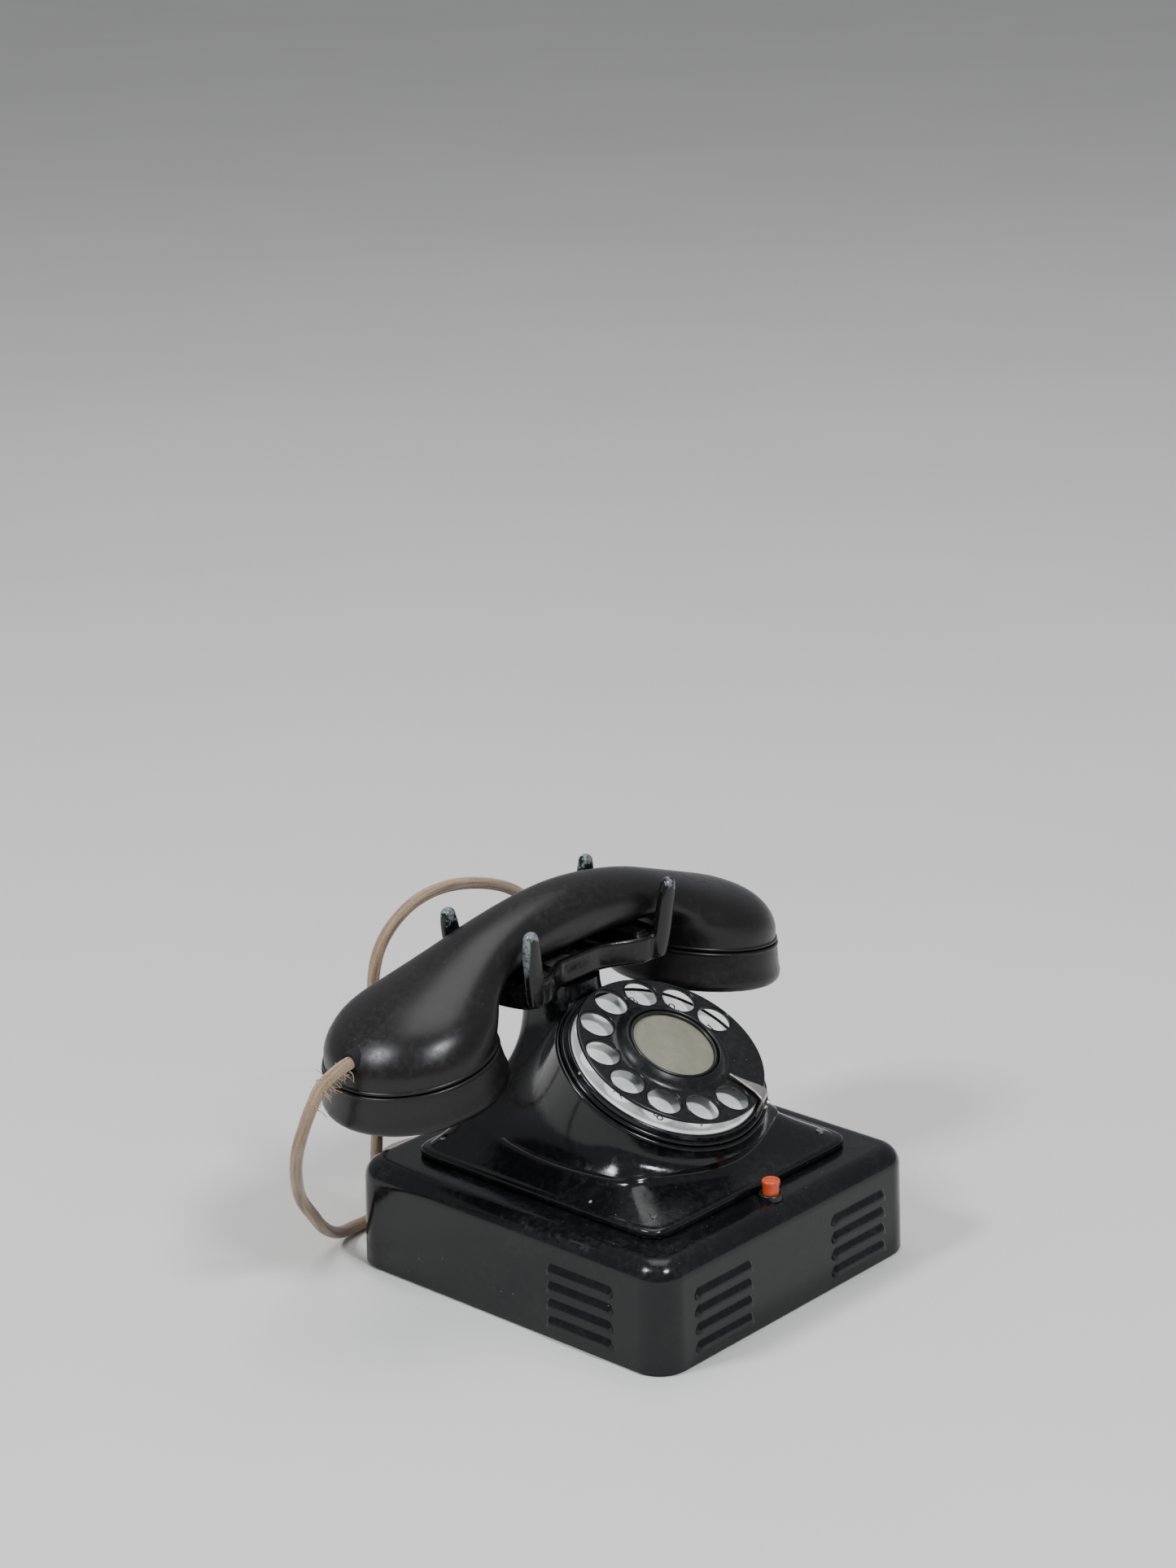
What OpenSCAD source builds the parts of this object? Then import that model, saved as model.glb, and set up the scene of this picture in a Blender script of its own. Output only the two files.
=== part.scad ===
// Desk telephone with a rotary dial, a domed handset and a louvred steel base.
// +X is the user's right, -Y is the front, +Z is up, and the feet stand on Z = 0.

/* [Base case] */
// Width of the base case, left to right
base_w = 150; // [140:1:190]
// Depth of the base case, front to back
base_d = 160; // [150:1:200]
// Height of the ledge on top of the base case
ledge_z = 44; // [42:1:56]
// Radius of the upright corners
corner_r = 13; // [11:1:18]
// Radius of the rolled edge round the top
edge_r = 8; // [5:0.5:9]
// Inward lean of each side between its foot and the rolled edge
side_draft = 0.8; // [0:0.1:1.5]
// Thickness of the case sheet
sheet = 1.6; // [1.2:0.1:2.2]
// Gap between the table and the lower edge of the case
foot_gap = 1; // [0.6:0.1:2]

/* [Louvres] */
// Louvres in one group
louvre_count = 4; // [2:1:4]
// Length of a louvre
louvre_len = 33; // [24:1:36]
// Distance between louvres
louvre_pitch = 7; // [6:0.5:8]
// How far a louvre stands out of the sheet
louvre_out = 1.4; // [0.8:0.1:2]
// Height of the lowest louvre's slot
louvre_z = 5.5; // [4.5:0.5:8]
// Distance of a group's middle from the middle of the front or the back
louvre_x = 40; // [36:1:46]
// Distance of a side group's middle from the middle of the side, towards the front
louvre_side_y = 39; // [30:1:44]

/* [Upper case] */
// Width of the plinth of the upper case
plinth_w = 116; // [108:1:126]
// Depth of the plinth of the upper case
plinth_d = 125; // [118:1:134]
// Height of the plinth's upright band
plinth_h = 4; // [3:0.5:6]
// Half width of the neck
neck_w = 14; // [13:0.5:20]
// Half depth of the neck
neck_d = 14; // [13:0.5:18]
// Distance of the neck and the cradle behind the middle
neck_y = 35.5; // [34:0.5:40]
// Height of the top of the neck
neck_z = 108.5; // [104:0.5:124]
// Wall of the upper case
wall = 2.2; // [1.6:0.1:2.8]

/* [Dial] */
// Radius of the finger wheel
wheel_r = 38; // [37:0.5:40]
// Thickness of the finger wheel
wheel_t = 1.6; // [1.2:0.1:2]
// Tilt of the dial away from horizontal, in degrees
dial_tilt = 28; // [22:1:34]
// Distance of the dial's middle in front of the middle
dial_y = -20.5; // [-24:0.5:-18]
// Height of the middle of the finger wheel
dial_z = 90.7; // [86:0.1:96]
// Radius of the circle of finger holes
hole_circle_r = 30; // [28.5:0.5:31]
// Radius of a finger hole
hole_r = 6.6; // [5.5:0.1:7]
// Angle of the first finger hole, anticlockwise from the right, in degrees
first_hole_deg = 8.5; // [0:0.5:60]
// Angle of the finger stop, in degrees
stop_deg = -63; // [-70:1:-40]
// Height of the wheel above the bezel's seat
wheel_rise = 9.5; // [8.5:0.5:11]
// Depth of the dial's can
can_h = 22; // [20:1:26]
// Radius of the number plate
plate_r = 38; // [36:0.5:39]

/* [Dial works] */
// Radius of the main shaft
shaft_r = 2.5; // [2:0.1:3]
// Running clearance of every shaft, pin and plunger in its bore, on the radius
run_clear = 0.06; // [0.03:0.01:0.09]
// Gear module
gear_module = 0.8; // [0.7:0.05:0.9]
// Teeth of the main gear
main_teeth = 50; // [44:2:52]
// Teeth of the governor's pinion
pinion_teeth = 10; // [10:1:12]

/* [Cradle] */
// Half length of the cradle
cradle_l = 42; // [39:0.5:43]
// Half depth of the cradle at its prongs
cradle_d = 20; // [19:0.5:24]
// Half depth of the cradle's waist
waist_d = 12; // [11:0.5:15]
// Height of the cradle's walls
cradle_h = 10.5; // [9:0.5:13]
// Gap between the top of the neck and the cradle at rest
cradle_gap = 0.5; // [0.4:0.1:1]
// Half distance between prong feet, along the handset
prong_x = 37.5; // [35:0.5:39]
// Height of a prong's tip above the cradle's floor
prong_h = 33; // [28:1:36]
// Thickness of a prong
prong_t = 5.6; // [4.5:0.1:6.5]
// Rise of the cradle when the handset is lifted
cradle_rise = 4; // [3:0.5:5]
// Radius of the cradle's plunger
plunger_r = 4; // [3:0.5:5]

/* [Handset] */
// Distance of each cap's middle from the middle of the handset
cap_x = 82; // [80:0.5:92]
// Inward tilt of each cap, in degrees
cap_tilt = 9; // [6:1:12]
// Radius of a cap at its thread end
cap_top_r = 33.7; // [33:0.1:36]
// Radius of a cap at its mouth
cap_r = 35.6; // [34:0.1:38]
// Height of a cap
cap_h = 16.4; // [14:0.2:19]
// Radius of the foot of each dome
dome_r = 32.5; // [31:0.5:33]
// Height of the handle's underside above the cradle's rim
handle_gap = 2.1; // [1.5:0.1:4]
// Depth of the handle, top to underside
handle_h = 24.4; // [22:0.2:28]
// Half width of the handle at its middle
handle_w = 14.5; // [13:0.5:15]
// How far behind the middle of the cradle the handset rests
handset_back = 1; // [0:0.5:1]
// Radius of the capsule held in each dome
capsule_r = 26; // [24:0.5:27]

/* [Button and cord] */
// Distance of the button in front of the plinth
button_gap = 6.5; // [5.5:0.5:8]
// Radius of the button's stem
button_r = 3.5; // [3:0.1:4]
// Travel of the button
button_travel = 3; // [2:0.5:3.5]
// Diameter of the handset cord
cord_dia = 4.8; // [4:0.1:5.5]

/* [Hidden] */

$fn = 48;
eps = 0.01;

// heights and places that several pieces share
floor_t = 1.5;
floor_z = foot_gap + 1.5;
case_top_in = ledge_z - sheet;
seat_z = -wheel_rise;
plate_top = seat_z + 3.9;
cradle_z = neck_z + cradle_gap;
rim_z = cradle_z + cradle_h;
handle_z = rim_z + handle_gap;
handset_y = neck_y + handset_back;
button_y = -plinth_d / 2 - button_gap;
button_top = ledge_z + 7.4;

// ---------------------------------------------------------------- helpers

function lerp(a, b, t) = a + (b - a) * t;

// Point t of a smooth curve through a list of points
function curve_point(pts, i, t) = let (
    n = len(pts) - 1,
    a = pts[max(i - 1, 0)], b = pts[i], c = pts[min(i + 1, n)], d = pts[min(i + 2, n)])
    0.5 * (2 * b + (c - a) * t + (2 * a - 5 * b + 4 * c - d) * t * t + (3 * b - a - 3 * c + d) * t * t * t);

// Closed skin over rings of points, each ring with the same number of points
module skin(rings) {
    n = len(rings[0]);
    m = len(rings);
    points = [for (ring = rings) each ring];
    sides = [for (j = [0:m - 2], i = [0:n - 1]) each let (
        a = j * n + i, b = j * n + (i + 1) % n, c = b + n, d = a + n) [[a, b, c], [a, c, d]]];
    bottom = [[for (i = [0:n - 1]) n - 1 - i]];
    top = [[for (i = [0:n - 1]) (m - 1) * n + i]];
    polyhedron(points = points, faces = [for (f = concat(sides, bottom, top)) [for (k = [len(f) - 1:-1:0]) f[k]]],
               convexity = 8);
}

module rounded_rect(w, d, r) {
    square([w - 2 * r, d], center = true);
    square([w, d - 2 * r], center = true);
    for (x = [-1, 1], y = [-1, 1]) translate([x * (w / 2 - r), y * (d / 2 - r)]) circle(r);
}

module ring(r_out, r_in, z0, z1) {
    translate([0, 0, z0]) difference() {
        cylinder(h = z1 - z0, r = r_out);
        translate([0, 0, -1]) cylinder(h = z1 - z0 + 2, r = r_in);
    }
}

module disc(r, z0, z1) {
    translate([0, 0, z0]) cylinder(h = z1 - z0, r = r);
}

// A slotted screw whose head's underside lies on Z = 0 and whose shank points up
module screw(shank_r, shank_len, head_r, head_h) {
    cylinder(h = shank_len, r = shank_r, $fn = 24);
    difference() {
        translate([0, 0, -head_h]) cylinder(h = head_h, r = head_r, $fn = 24);
        translate([0, 0, -head_h]) cube([2 * head_r + 1, 0.7, head_h], center = true);
    }
}

module corners(x, y) {
    for (sx = [-1, 1], sy = [-1, 1]) translate([sx * x, sy * y, 0]) children();
}

// ---------------------------------------------------------------- base case

// Right half of the outline of an upright wall with a rolled top edge, from radius 0 to r
function edge_profile(r, z0, z1, er, lean) = concat(
    [[0, z0], [r, z0], [r - lean, z1 - er]],
    [for (a = [15:15:90]) [r - lean - er + er * cos(a), z1 - er + er * sin(a)]],
    [[0, z1]]);

// Solid block with rolled top edges and rounded corners, the same profile all the way round
module case_block(w, d, r, z0, z1, er, lean) {
    profile = edge_profile(r, z0, z1, er, lean);
    band = [for (i = [1:len(profile) - 2]) profile[i]];
    corners(w / 2 - r, d / 2 - r) rotate_extrude() polygon(profile);
    rotate([90, 0, 90]) linear_extrude(w - 2 * r, center = true)
        polygon(concat([for (p = band) [d / 2 - r + p[0], p[1]]],
                       [for (i = [len(band) - 1:-1:0]) [-(d / 2 - r + band[i][0]), band[i][1]]]));
    rotate([90, 0, 0]) linear_extrude(d - 2 * r, center = true)
        polygon(concat([for (p = band) [w / 2 - r + p[0], p[1]]],
                       [for (i = [len(band) - 1:-1:0]) [-(w / 2 - r + band[i][0]), band[i][1]]]));
}

lug_x = base_w / 2 - corner_r;
lug_y = base_d / 2 - corner_r;
lug_r = 5;
case_screw_x = plinth_w / 2 - 9;
case_screw_y = plinth_d / 2 - 9;
opening_w = plinth_w - 30;
opening_d = plinth_d - 30;
gland_x = 38;
gland_z = 12;
gland_r = 4.5;
gland_end = 8.6;

// Middles of the louvre groups: place along the wall and turn about Z of an outward wall
louvre_groups = [
    [[-louvre_x, -base_d / 2], 0], [[louvre_x, -base_d / 2], 0],
    [[0, base_d / 2], 180],
    [[-base_w / 2, -louvre_side_y], -90], [[base_w / 2, -louvre_side_y], 90]];

module at_louvres() {
    for (g = louvre_groups, i = [0:louvre_count - 1])
        translate([g[0][0], g[0][1], louvre_z + i * louvre_pitch]) rotate([0, 0, g[1]]) children();
}

// Bulge of one louvre on a wall that faces -Y, and the slot under it
module louvre(len, out, high) {
    rotate([90, 0, 90]) linear_extrude(len, center = true)
        polygon([[sheet / 2 + side_draft, 0], [-out, 0], [-out, high * 0.35], [-out * 0.7, high * 0.75],
                 [side_draft, high], [sheet / 2 + side_draft, high]]);
}

louvre_h = 4.6;
louvre_skin = 0.7;

module base_case() color("#17181b") difference() {
    union() {
        difference() {
            case_block(base_w, base_d, corner_r, foot_gap, ledge_z, edge_r, side_draft);
            case_block(base_w - 2 * sheet, base_d - 2 * sheet, corner_r - sheet, foot_gap - 1,
                       case_top_in, edge_r - sheet, side_draft);
            linear_extrude(ledge_z + 1) rounded_rect(opening_w, opening_d, 6);
        }
        at_louvres() louvre(louvre_len, louvre_out, louvre_h);
        corners(lug_x, lug_y) disc(lug_r, floor_z + floor_t, case_top_in + eps);
    }
    at_louvres() translate([0, 0, -eps]) louvre(louvre_len - 2 * louvre_skin, louvre_out - louvre_skin,
                                                louvre_h - louvre_skin - 0.6);
    at_louvres() translate([-louvre_len / 2 + louvre_skin, -0.5, -eps])
        cube([louvre_len - 2 * louvre_skin, sheet + side_draft + 2, louvre_h - 1.4]);
    corners(lug_x, lug_y) disc(1.5, floor_z, floor_z + 13);
    corners(case_screw_x, case_screw_y) disc(1.7, case_top_in - 1, ledge_z + 1);
    translate([0, button_y, 0]) disc(button_r + 0.7 + eps, case_top_in - 1, ledge_z + 1);
    translate([gland_x, base_d / 2 - sheet - 3, gland_z]) rotate([-90, 0, 0])
        cylinder(h = sheet + 6, r = gland_r);
}

// ---------------------------------------------------------------- bottom

plate_w = base_w - 2 * sheet - 1.2;
plate_d = base_d - 2 * sheet - 1.2;
foot_x = lug_x - 14;
foot_y = lug_y - 8;
gong_x = 28;
gong_y = 46;
gong_r = 21.5;
pivot_y = 30;

module bottom_plate() color("#4a4a48") difference() {
    translate([0, 0, floor_z]) linear_extrude(floor_t) rounded_rect(plate_w, plate_d, corner_r - sheet - 0.6);
    corners(lug_x, lug_y) disc(1.7, 0, floor_z + 3);
    corners(foot_x, foot_y) disc(2.5, 0, floor_z + 3);
}

module rubber_feet() color("#1c1b1a") corners(foot_x, foot_y) {
    disc(7, 0, floor_z);
    disc(2.45, floor_z, floor_z + floor_t);
    disc(3.8, floor_z + floor_t, floor_z + floor_t + 1.2);
}

module bottom_screws() color("#8d8a80") corners(lug_x, lug_y) translate([0, 0, floor_z])
    screw(1.45, 10, 3, 1.2);

// ---------------------------------------------------------------- upper case

// Places in the dial's own frame: Z out of its face, origin at the middle of the finger wheel
module at_dial() {
    translate([0, dial_y, dial_z]) rotate([dial_tilt, 0, 0]) children();
}

drum_r = 42.4;
drum_slack = 0.7;
band_top = ledge_z + plinth_h;
flare_top = neck_z;

// How far up the flare a height lies, 0 at the band and 1 at the neck
function flare_t(z) = max(0, min(1, (z - band_top) / (flare_top - band_top)));

// Half width, half depth, middle and squareness of the flare's section at height z
function flare_a(z) = lerp(neck_w, plinth_w / 2 - 2.5, pow(1 - flare_t(z), 2.6));
function flare_b(z) = lerp(neck_d, plinth_d / 2 - 2.5, pow(1 - flare_t(z), 2.4));
function flare_y(z) = lerp(neck_y, 0, pow(1 - flare_t(z), 1.7));
function flare_n(z) = lerp(2.6, 16, pow(1 - flare_t(z), 2.2));

// The point inside both the flare and the drum that a section is measured from
function pole_y(z) = lerp(0, neck_y - 11, min(1, 1.6 * flare_t(z)));

function inside_flare(x, y, z, a, b, n) =
    pow(abs(x) / a, n) + pow(abs(y - flare_y(z)) / b, n) < 1;

// Distance from the pole to the flare's wall in direction [c, s], by halving the interval
function flare_reach(c, s, z, a, b, n, lo, hi, k) = k == 0 ? (lo + hi) / 2 : let (m = (lo + hi) / 2)
    inside_flare(m * c, pole_y(z) + m * s, z, a, b, n)
        ? flare_reach(c, s, z, a, b, n, m, hi, k - 1)
        : flare_reach(c, s, z, a, b, n, lo, m, k - 1);

// Distance from the pole to the drum's wall: the drum's level section is an ellipse
function drum_reach(c, s, z, r) = let (
    b = r / cos(dial_tilt),
    yc = dial_y + (dial_z - z) * tan(dial_tilt),
    p = pole_y(z) - yc,
    qa = c * c / (r * r) + s * s / (b * b),
    qb = p * s / (b * b),
    qc = p * p / (b * b) - 1,
    disc = qb * qb - qa * qc)
    disc <= 0 ? 0 : max(0, (-qb + sqrt(disc)) / qa);

// Directions of a section's points, closer together near the corners
function section_dir(i, n) = let (t = 360 * i / n) t + 8 * sin(4 * t);

// How sharply drum and flare meet, soft above the foot of the flare
function blend_k(z) = lerp(16, 5, min(1, flare_t(z) / 0.15));

function section_ring(z, inset, n) = [for (i = [0:n - 1]) let (
    d = section_dir(i, n), c = cos(d), s = sin(d),
    f = flare_reach(c, s, z, flare_a(z), flare_b(z), flare_n(z), 0, 110, 16),
    g = drum_reach(c, s, z, drum_r),
    k = blend_k(z),
    r = pow(pow(f, k) + pow(g, k), 1 / k) - inset)
    [r * c, pole_y(z) + r * s, z]];

// Ring of the plinth's band, pushed out from the foot of the flare
function band_ring(z, out, n) = [for (i = [0:n - 1]) let (
    d = section_dir(i, n), c = cos(d), s = sin(d),
    f = flare_reach(c, s, band_top, plinth_w / 2 - 2.5 + out, plinth_d / 2 - 2.5 + out, 16, 0, 110, 16))
    [f * c, f * s, z]];

section_points = 56;
flare_levels = [0, 0.03, 0.07, 0.11, 0.16, 0.22, 0.29, 0.37, 0.46, 0.57, 0.69, 0.81, 0.91, 1];

function level_z(t) = lerp(band_top, flare_top, t);

module upper_case_outside() {
    skin(concat(
        [band_ring(ledge_z, 2.5, section_points), band_ring(band_top - 1, 2.5, section_points),
         band_ring(band_top - 0.2, 1.9, section_points)],
        [for (t = flare_levels) section_ring(level_z(t), 0, section_points)]));
}

module upper_case_inside() {
    skin(concat(
        [band_ring(ledge_z - 1, 2.5 - wall, section_points), band_ring(band_top - wall, 2.5 - wall, section_points)],
        [for (t = flare_levels) section_ring(level_z(t) - wall - 0.1, wall, section_points)]));
}

// The sheet of the upper case, brought to the plinth's exact width and depth
module upper_case_shell() resize([plinth_w, plinth_d, 0]) difference() {
    upper_case_outside();
    upper_case_inside();
    at_dial() disc(drum_r + drum_slack, seat_z, seat_z + 80);
    at_dial() disc(can_r + 0.3, seat_z - 30, seat_z + 1);
}

module upper_case() color("#141518") difference() {
    upper_case_shell();
    translate([0, neck_y, 0]) disc(plunger_r + run_clear, neck_z - 12, neck_z + 1);
    corners(case_screw_x, case_screw_y) disc(1.5, ledge_z - 1, ledge_z + 9);
}

can_r = 35;

module upper_case_screws() color("#8d8a80") corners(case_screw_x, case_screw_y)
    translate([0, 0, case_top_in]) screw(1.45, 8, 3, 1.2);

// ---------------------------------------------------------------- dial, fixed pieces

bezel_in = plate_r + 0.15;
rim_t = 1.5;
hub_hole_r = 7;
bearing_in_z = seat_z - 7;

module dial_bezel() color("#17181b") at_dial() {
    ring(bezel_in + 3.3, can_r - 1.5, seat_z, seat_z + 2.1);
    ring(bezel_in + rim_t, bezel_in, seat_z + 2.1, plate_top + 0.2);
    ring(bezel_in, can_r - 1.5, seat_z + 2.1, plate_top - 1);
}

module number_plate() color("#e9e9e2") at_dial()
    ring(plate_r, hub_hole_r, plate_top - 1, plate_top);

module dial_can() color("#77766f") at_dial() difference() {
    disc(can_r, seat_z - can_h, seat_z);
    disc(can_r - 1.5, seat_z - can_h + 1.5, seat_z + 1);
}

gear_distance = gear_module * (main_teeth + pinion_teeth) / 2;
governor_deg = 150;
spindle_r = 1.2;

module at_governor() {
    rotate([0, 0, governor_deg]) translate([gear_distance, 0, 0]) children();
}

module bearing_plate() color("#a08a4e") at_dial() difference() {
    union() {
        disc(can_r - 1.7, bearing_in_z, bearing_in_z + 1.6);
        disc(shaft_r + 2.2, bearing_in_z, seat_z);
        for (a = [30, 150, 270]) rotate([0, 0, a + 45]) translate([can_r - 5.5, 0, 0])
            disc(2.5, seat_z - can_h + 1.5, bearing_in_z);
    }
    disc(shaft_r + run_clear, bearing_in_z - 1, seat_z + 1);
    at_governor() disc(spindle_r + run_clear, bearing_in_z - 1, bearing_in_z + 3);
}

spring_turns = 4;
spring_in = shaft_r + 4.2;
spring_pitch = 2.6;

// Flat spiral that turns the finger wheel back
module return_spring() color("#5d6670") at_dial() translate([0, 0, bearing_in_z + 2]) linear_extrude(4)
    polygon(concat(
        [for (a = [0:15:360 * spring_turns]) (spring_in + spring_pitch * a / 360) * [cos(a), sin(a)]],
        [for (a = [360 * spring_turns:-15:0]) (spring_in + 0.6 + spring_pitch * a / 360) * [cos(a), sin(a)]]));

gear_z = bearing_in_z - 2.6;
gear_t = 1.8;

module pulse_contacts() color("#b59a55") at_dial() for (y = [0, 2.6]) {
    translate([-6, -27 - y, gear_z - 1]) cube([16, 0.5, 3]);
    translate([-12, -30, gear_z - 1.6]) cube([6, 5.6, 4]);
}

module governor_cup() color("#b08d3c") at_dial() at_governor()
    ring(6.8, 6, seat_z - can_h + 1.5, seat_z - can_h + 7.5);

// Bent blade: a foot on the bezel, a leg outside the wheel and a pointed tongue over it
blade_z = wheel_t / 2 + 1;
blade_t = 1.2;
leg_r = bezel_in + rim_t + 0.05;

module finger_stop() color("#b9b7b0") at_dial() rotate([0, 0, stop_deg]) {
    translate([0, 0, blade_z]) linear_extrude(blade_t)
        polygon([[leg_r + 1.4, -4.6], [leg_r + 1.4, 2.6], [34, 2.2], [29, 1.6], [24.4, 0.8], [23.6, 0],
                 [24.4, -0.8], [29, -1.8], [34, -3.4]]);
    translate([leg_r, -4.6, seat_z + 2.1]) cube([1.4, 7.2, blade_z - seat_z - 2.1 + eps]);
}

module finger_stop_screws() color("#8d8a80") at_dial() rotate([0, 0, stop_deg])
    for (z = [-3.6, -1]) translate([leg_r + 1.4, -1, z]) rotate([0, 90, 0]) difference() {
        cylinder(h = 0.8, r = 1.1, $fn = 20);
        translate([0, 0, 0.7]) cube([3, 0.4, 0.6], center = true);
    }

// ---------------------------------------------------------------- dial, turning pieces

hub_r = 23;
card_r = 16.4;

// The wheel's plate is a middle, ten spokes between the holes and a rim
spoke_low = hole_circle_r - 5;
spoke_high = hole_circle_r + 5;

module finger_holes() {
    for (i = [0:9]) rotate([0, 0, first_hole_deg + 30 * i]) translate([hole_circle_r, 0, 0])
        disc(hole_r, -3, 3);
}

module wheel_spokes() color("#17181b") at_dial() difference() {
    ring(spoke_high, spoke_low, -wheel_t / 2, wheel_t / 2);
    finger_holes();
}

module wheel_rim() color("#17181b") at_dial() difference() {
    union() {
        ring(wheel_r - 0.5, spoke_high, -wheel_t / 2, wheel_t / 2);
        ring(wheel_r, spoke_high, -wheel_t / 2 + 0.4, wheel_t / 2 - 0.4);
    }
    finger_holes();
}

module finger_wheel() color("#17181b") at_dial() difference() {
    union() {
        disc(spoke_low, -wheel_t / 2, wheel_t / 2);
        rotate_extrude($fn = 96) polygon([[0, 0], [hub_r, 0], [hub_r, wheel_t / 2], [hub_r - 1.4, 1.8],
                                [hub_r - 3.6, 3.6], [19, 4.4], [18.2, 4.4], [17.8, 4], [17.8, 2], [0, 2]]);
        disc(5.4, plate_top + 0.6, 0);
    }
    finger_holes();
    disc(shaft_r, -12, 2.5);
}

module card_disc() color("#8b8874") at_dial() {
    disc(card_r, 2, 3);
    translate([0, 0, 3]) cylinder(h = 0.5, r1 = card_r, r2 = card_r - 3);
}

module card_ring() color("#1d1e20") at_dial() {
    ring(17.75, card_r + 0.05, 2, 3.4);
    ring(17.75, card_r - 0.4, 3.4, 3.9);
}

module dial_shaft() color("#9b9a94") at_dial()
    disc(shaft_r, bearing_in_z - 4.4, 2);

// Rolled-out angle of an involute at pressure angle a, in degrees
function inv(a) = tan(a) * 180 / PI - a;

// Spur gear with involute flanks. slack narrows each tooth, shift turns it by a part of its pitch.
module gear_outline(teeth, mod, slack, shift) {
    pitch_r = teeth * mod / 2;
    base_circle = pitch_r * cos(20);
    tip_r = pitch_r + mod * 0.8;
    root_r = pitch_r - mod * 1.15;
    half = 90 / teeth - slack / 2 / pitch_r * 180 / PI + inv(20);
    low_r = max(base_circle, root_r);
    flank = [for (k = [0:4]) lerp(low_r, tip_r, k / 4)];
    polygon([for (i = [0:teeth - 1]) let (mid = 360 * (i + shift) / teeth) each [
        for (q = concat(
            [[root_r, -half]],
            [for (r = flank) [r, -half + inv(acos(min(1, base_circle / r)))]],
            [for (k = [4:-1:0]) [flank[k], half - inv(acos(min(1, base_circle / flank[k])))]],
            [[root_r, half]]))
            q[0] * [cos(mid + q[1]), sin(mid + q[1])]]]);
}

tooth_slack = 0.3;

module main_gear() color("#b08d3c") at_dial() rotate([0, 0, governor_deg]) difference() {
    translate([0, 0, gear_z]) linear_extrude(gear_t)
        gear_outline(main_teeth, gear_module, tooth_slack, 0);
    disc(shaft_r, gear_z - 1, gear_z + gear_t + 1);
    for (a = [0:60:300]) rotate([0, 0, a]) translate([11, 0, 0]) disc(3.2, gear_z - 1, gear_z + gear_t + 1);
}

module governor() color("#c8c4b4") at_dial() at_governor() {
    disc(spindle_r, seat_z - can_h + 2, bearing_in_z + 2.4);
    translate([0, 0, gear_z]) linear_extrude(gear_t)
        gear_outline(pinion_teeth, gear_module, tooth_slack, pinion_teeth % 2 == 0 ? 0.5 : 0);
    for (a = [0, 180]) rotate([0, 0, a]) translate([1, -1.5, seat_z - can_h + 3]) cube([4.4, 3, 3]);
}

// ---------------------------------------------------------------- cradle and hook switch

waist_from = 9;
waist_to = 29;

// Half depth of the cradle at x: narrow at the neck, full at the prongs
function rail_y(x) = let (u = max(0, min(1, (abs(x) - waist_from) / (waist_to - waist_from))))
    lerp(waist_d, cradle_d, u * u * (3 - 2 * u));

rail_steps = 24;
end_r = 7;

function cradle_outline(inset) = let (l = cradle_l - inset, straight = l - end_r)
    concat(
        [for (i = [-rail_steps:rail_steps]) let (x = straight * i / rail_steps) [x, -(rail_y(x) - inset)]],
        [for (a = [-60:30:60]) [straight + end_r * cos(a), rail_end(inset) * sin(a) / sin(60)]],
        [for (i = [rail_steps:-1:-rail_steps]) let (x = straight * i / rail_steps) [x, rail_y(x) - inset]],
        [for (a = [120:30:240]) [-straight + end_r * cos(a), rail_end(inset) * sin(a) / sin(120)]]);

function rail_end(inset) = rail_y(cradle_l - inset - end_r) - inset - 1.5;

rail_t = 3.4;
prong_w = 8.5;
pad_x = 29;
rest_gap = 0.3;

// One prong, rising from a corner of the cradle and leaning away from the handset
module prong() hull() {
    translate([0, 0, 4]) scale([prong_w / prong_t, 1, 1]) sphere(prong_t / 2, $fn = 20);
    translate([0.8, -0.4, prong_h * 0.6]) sphere(prong_t / 2, $fn = 20);
    translate([1.2, -1.4, prong_h - prong_t / 2]) scale([1.3, 1, 1]) sphere(prong_t / 2, $fn = 20);
}

module cradle() color("#17181b") translate([0, neck_y, cradle_z]) {
    difference() {
        linear_extrude(cradle_h) polygon(cradle_outline(0));
        translate([0, 0, 3]) linear_extrude(cradle_h) polygon(cradle_outline(rail_t));
        translate([0, 0, -1]) cylinder(h = 5, r = plunger_r);
    }
    for (x = [-1, 1]) translate([x * pad_x - 3, -cradle_d + 3, 2])
        cube([6, 2 * cradle_d - 6, handle_z - rest_gap - cradle_z - 2]);
    for (x = [-1, 1], y = [-1, 1]) mirror([x < 0 ? 1 : 0, 0, 0]) mirror([0, y > 0 ? 1 : 0, 0])
        translate([prong_x, -cradle_d - 0.4, 0]) prong();
}

plunger_low = neck_z - 24;

module cradle_plunger() color("#9b9a94") translate([0, neck_y, 0]) {
    disc(plunger_r, plunger_low, cradle_z + 3);
    disc(plunger_r + 3, cradle_z + 3, cradle_z + 4.5);
}

lever_arm = 10;
lever_z = plunger_low - 1 - rest_gap;
pin_r = 1.2;

module hook_frame() color("#a08a4e") translate([lever_arm, neck_y, 0]) {
    difference() {
        union() for (y = [-5.2, 4]) translate([-3, y, lever_z - 26]) cube([6, 1.2, 30]);
        translate([0, -8, lever_z]) rotate([-90, 0, 0]) cylinder(h = 16, r = pin_r + run_clear);
    }
    translate([-3, -4, lever_z - 26]) cube([6, 8, 2]);
}

module hook_lever() color("#c8c4b4") translate([lever_arm, neck_y, lever_z]) {
    translate([0, -6, 0]) rotate([-90, 0, 0]) cylinder(h = 12, r = pin_r);
    translate([-lever_arm - 2, -3, -1]) cube([lever_arm + 2, 6, 2]);
    translate([-1.5, -3, -9]) cube([3, 6, 9]);
}

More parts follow.
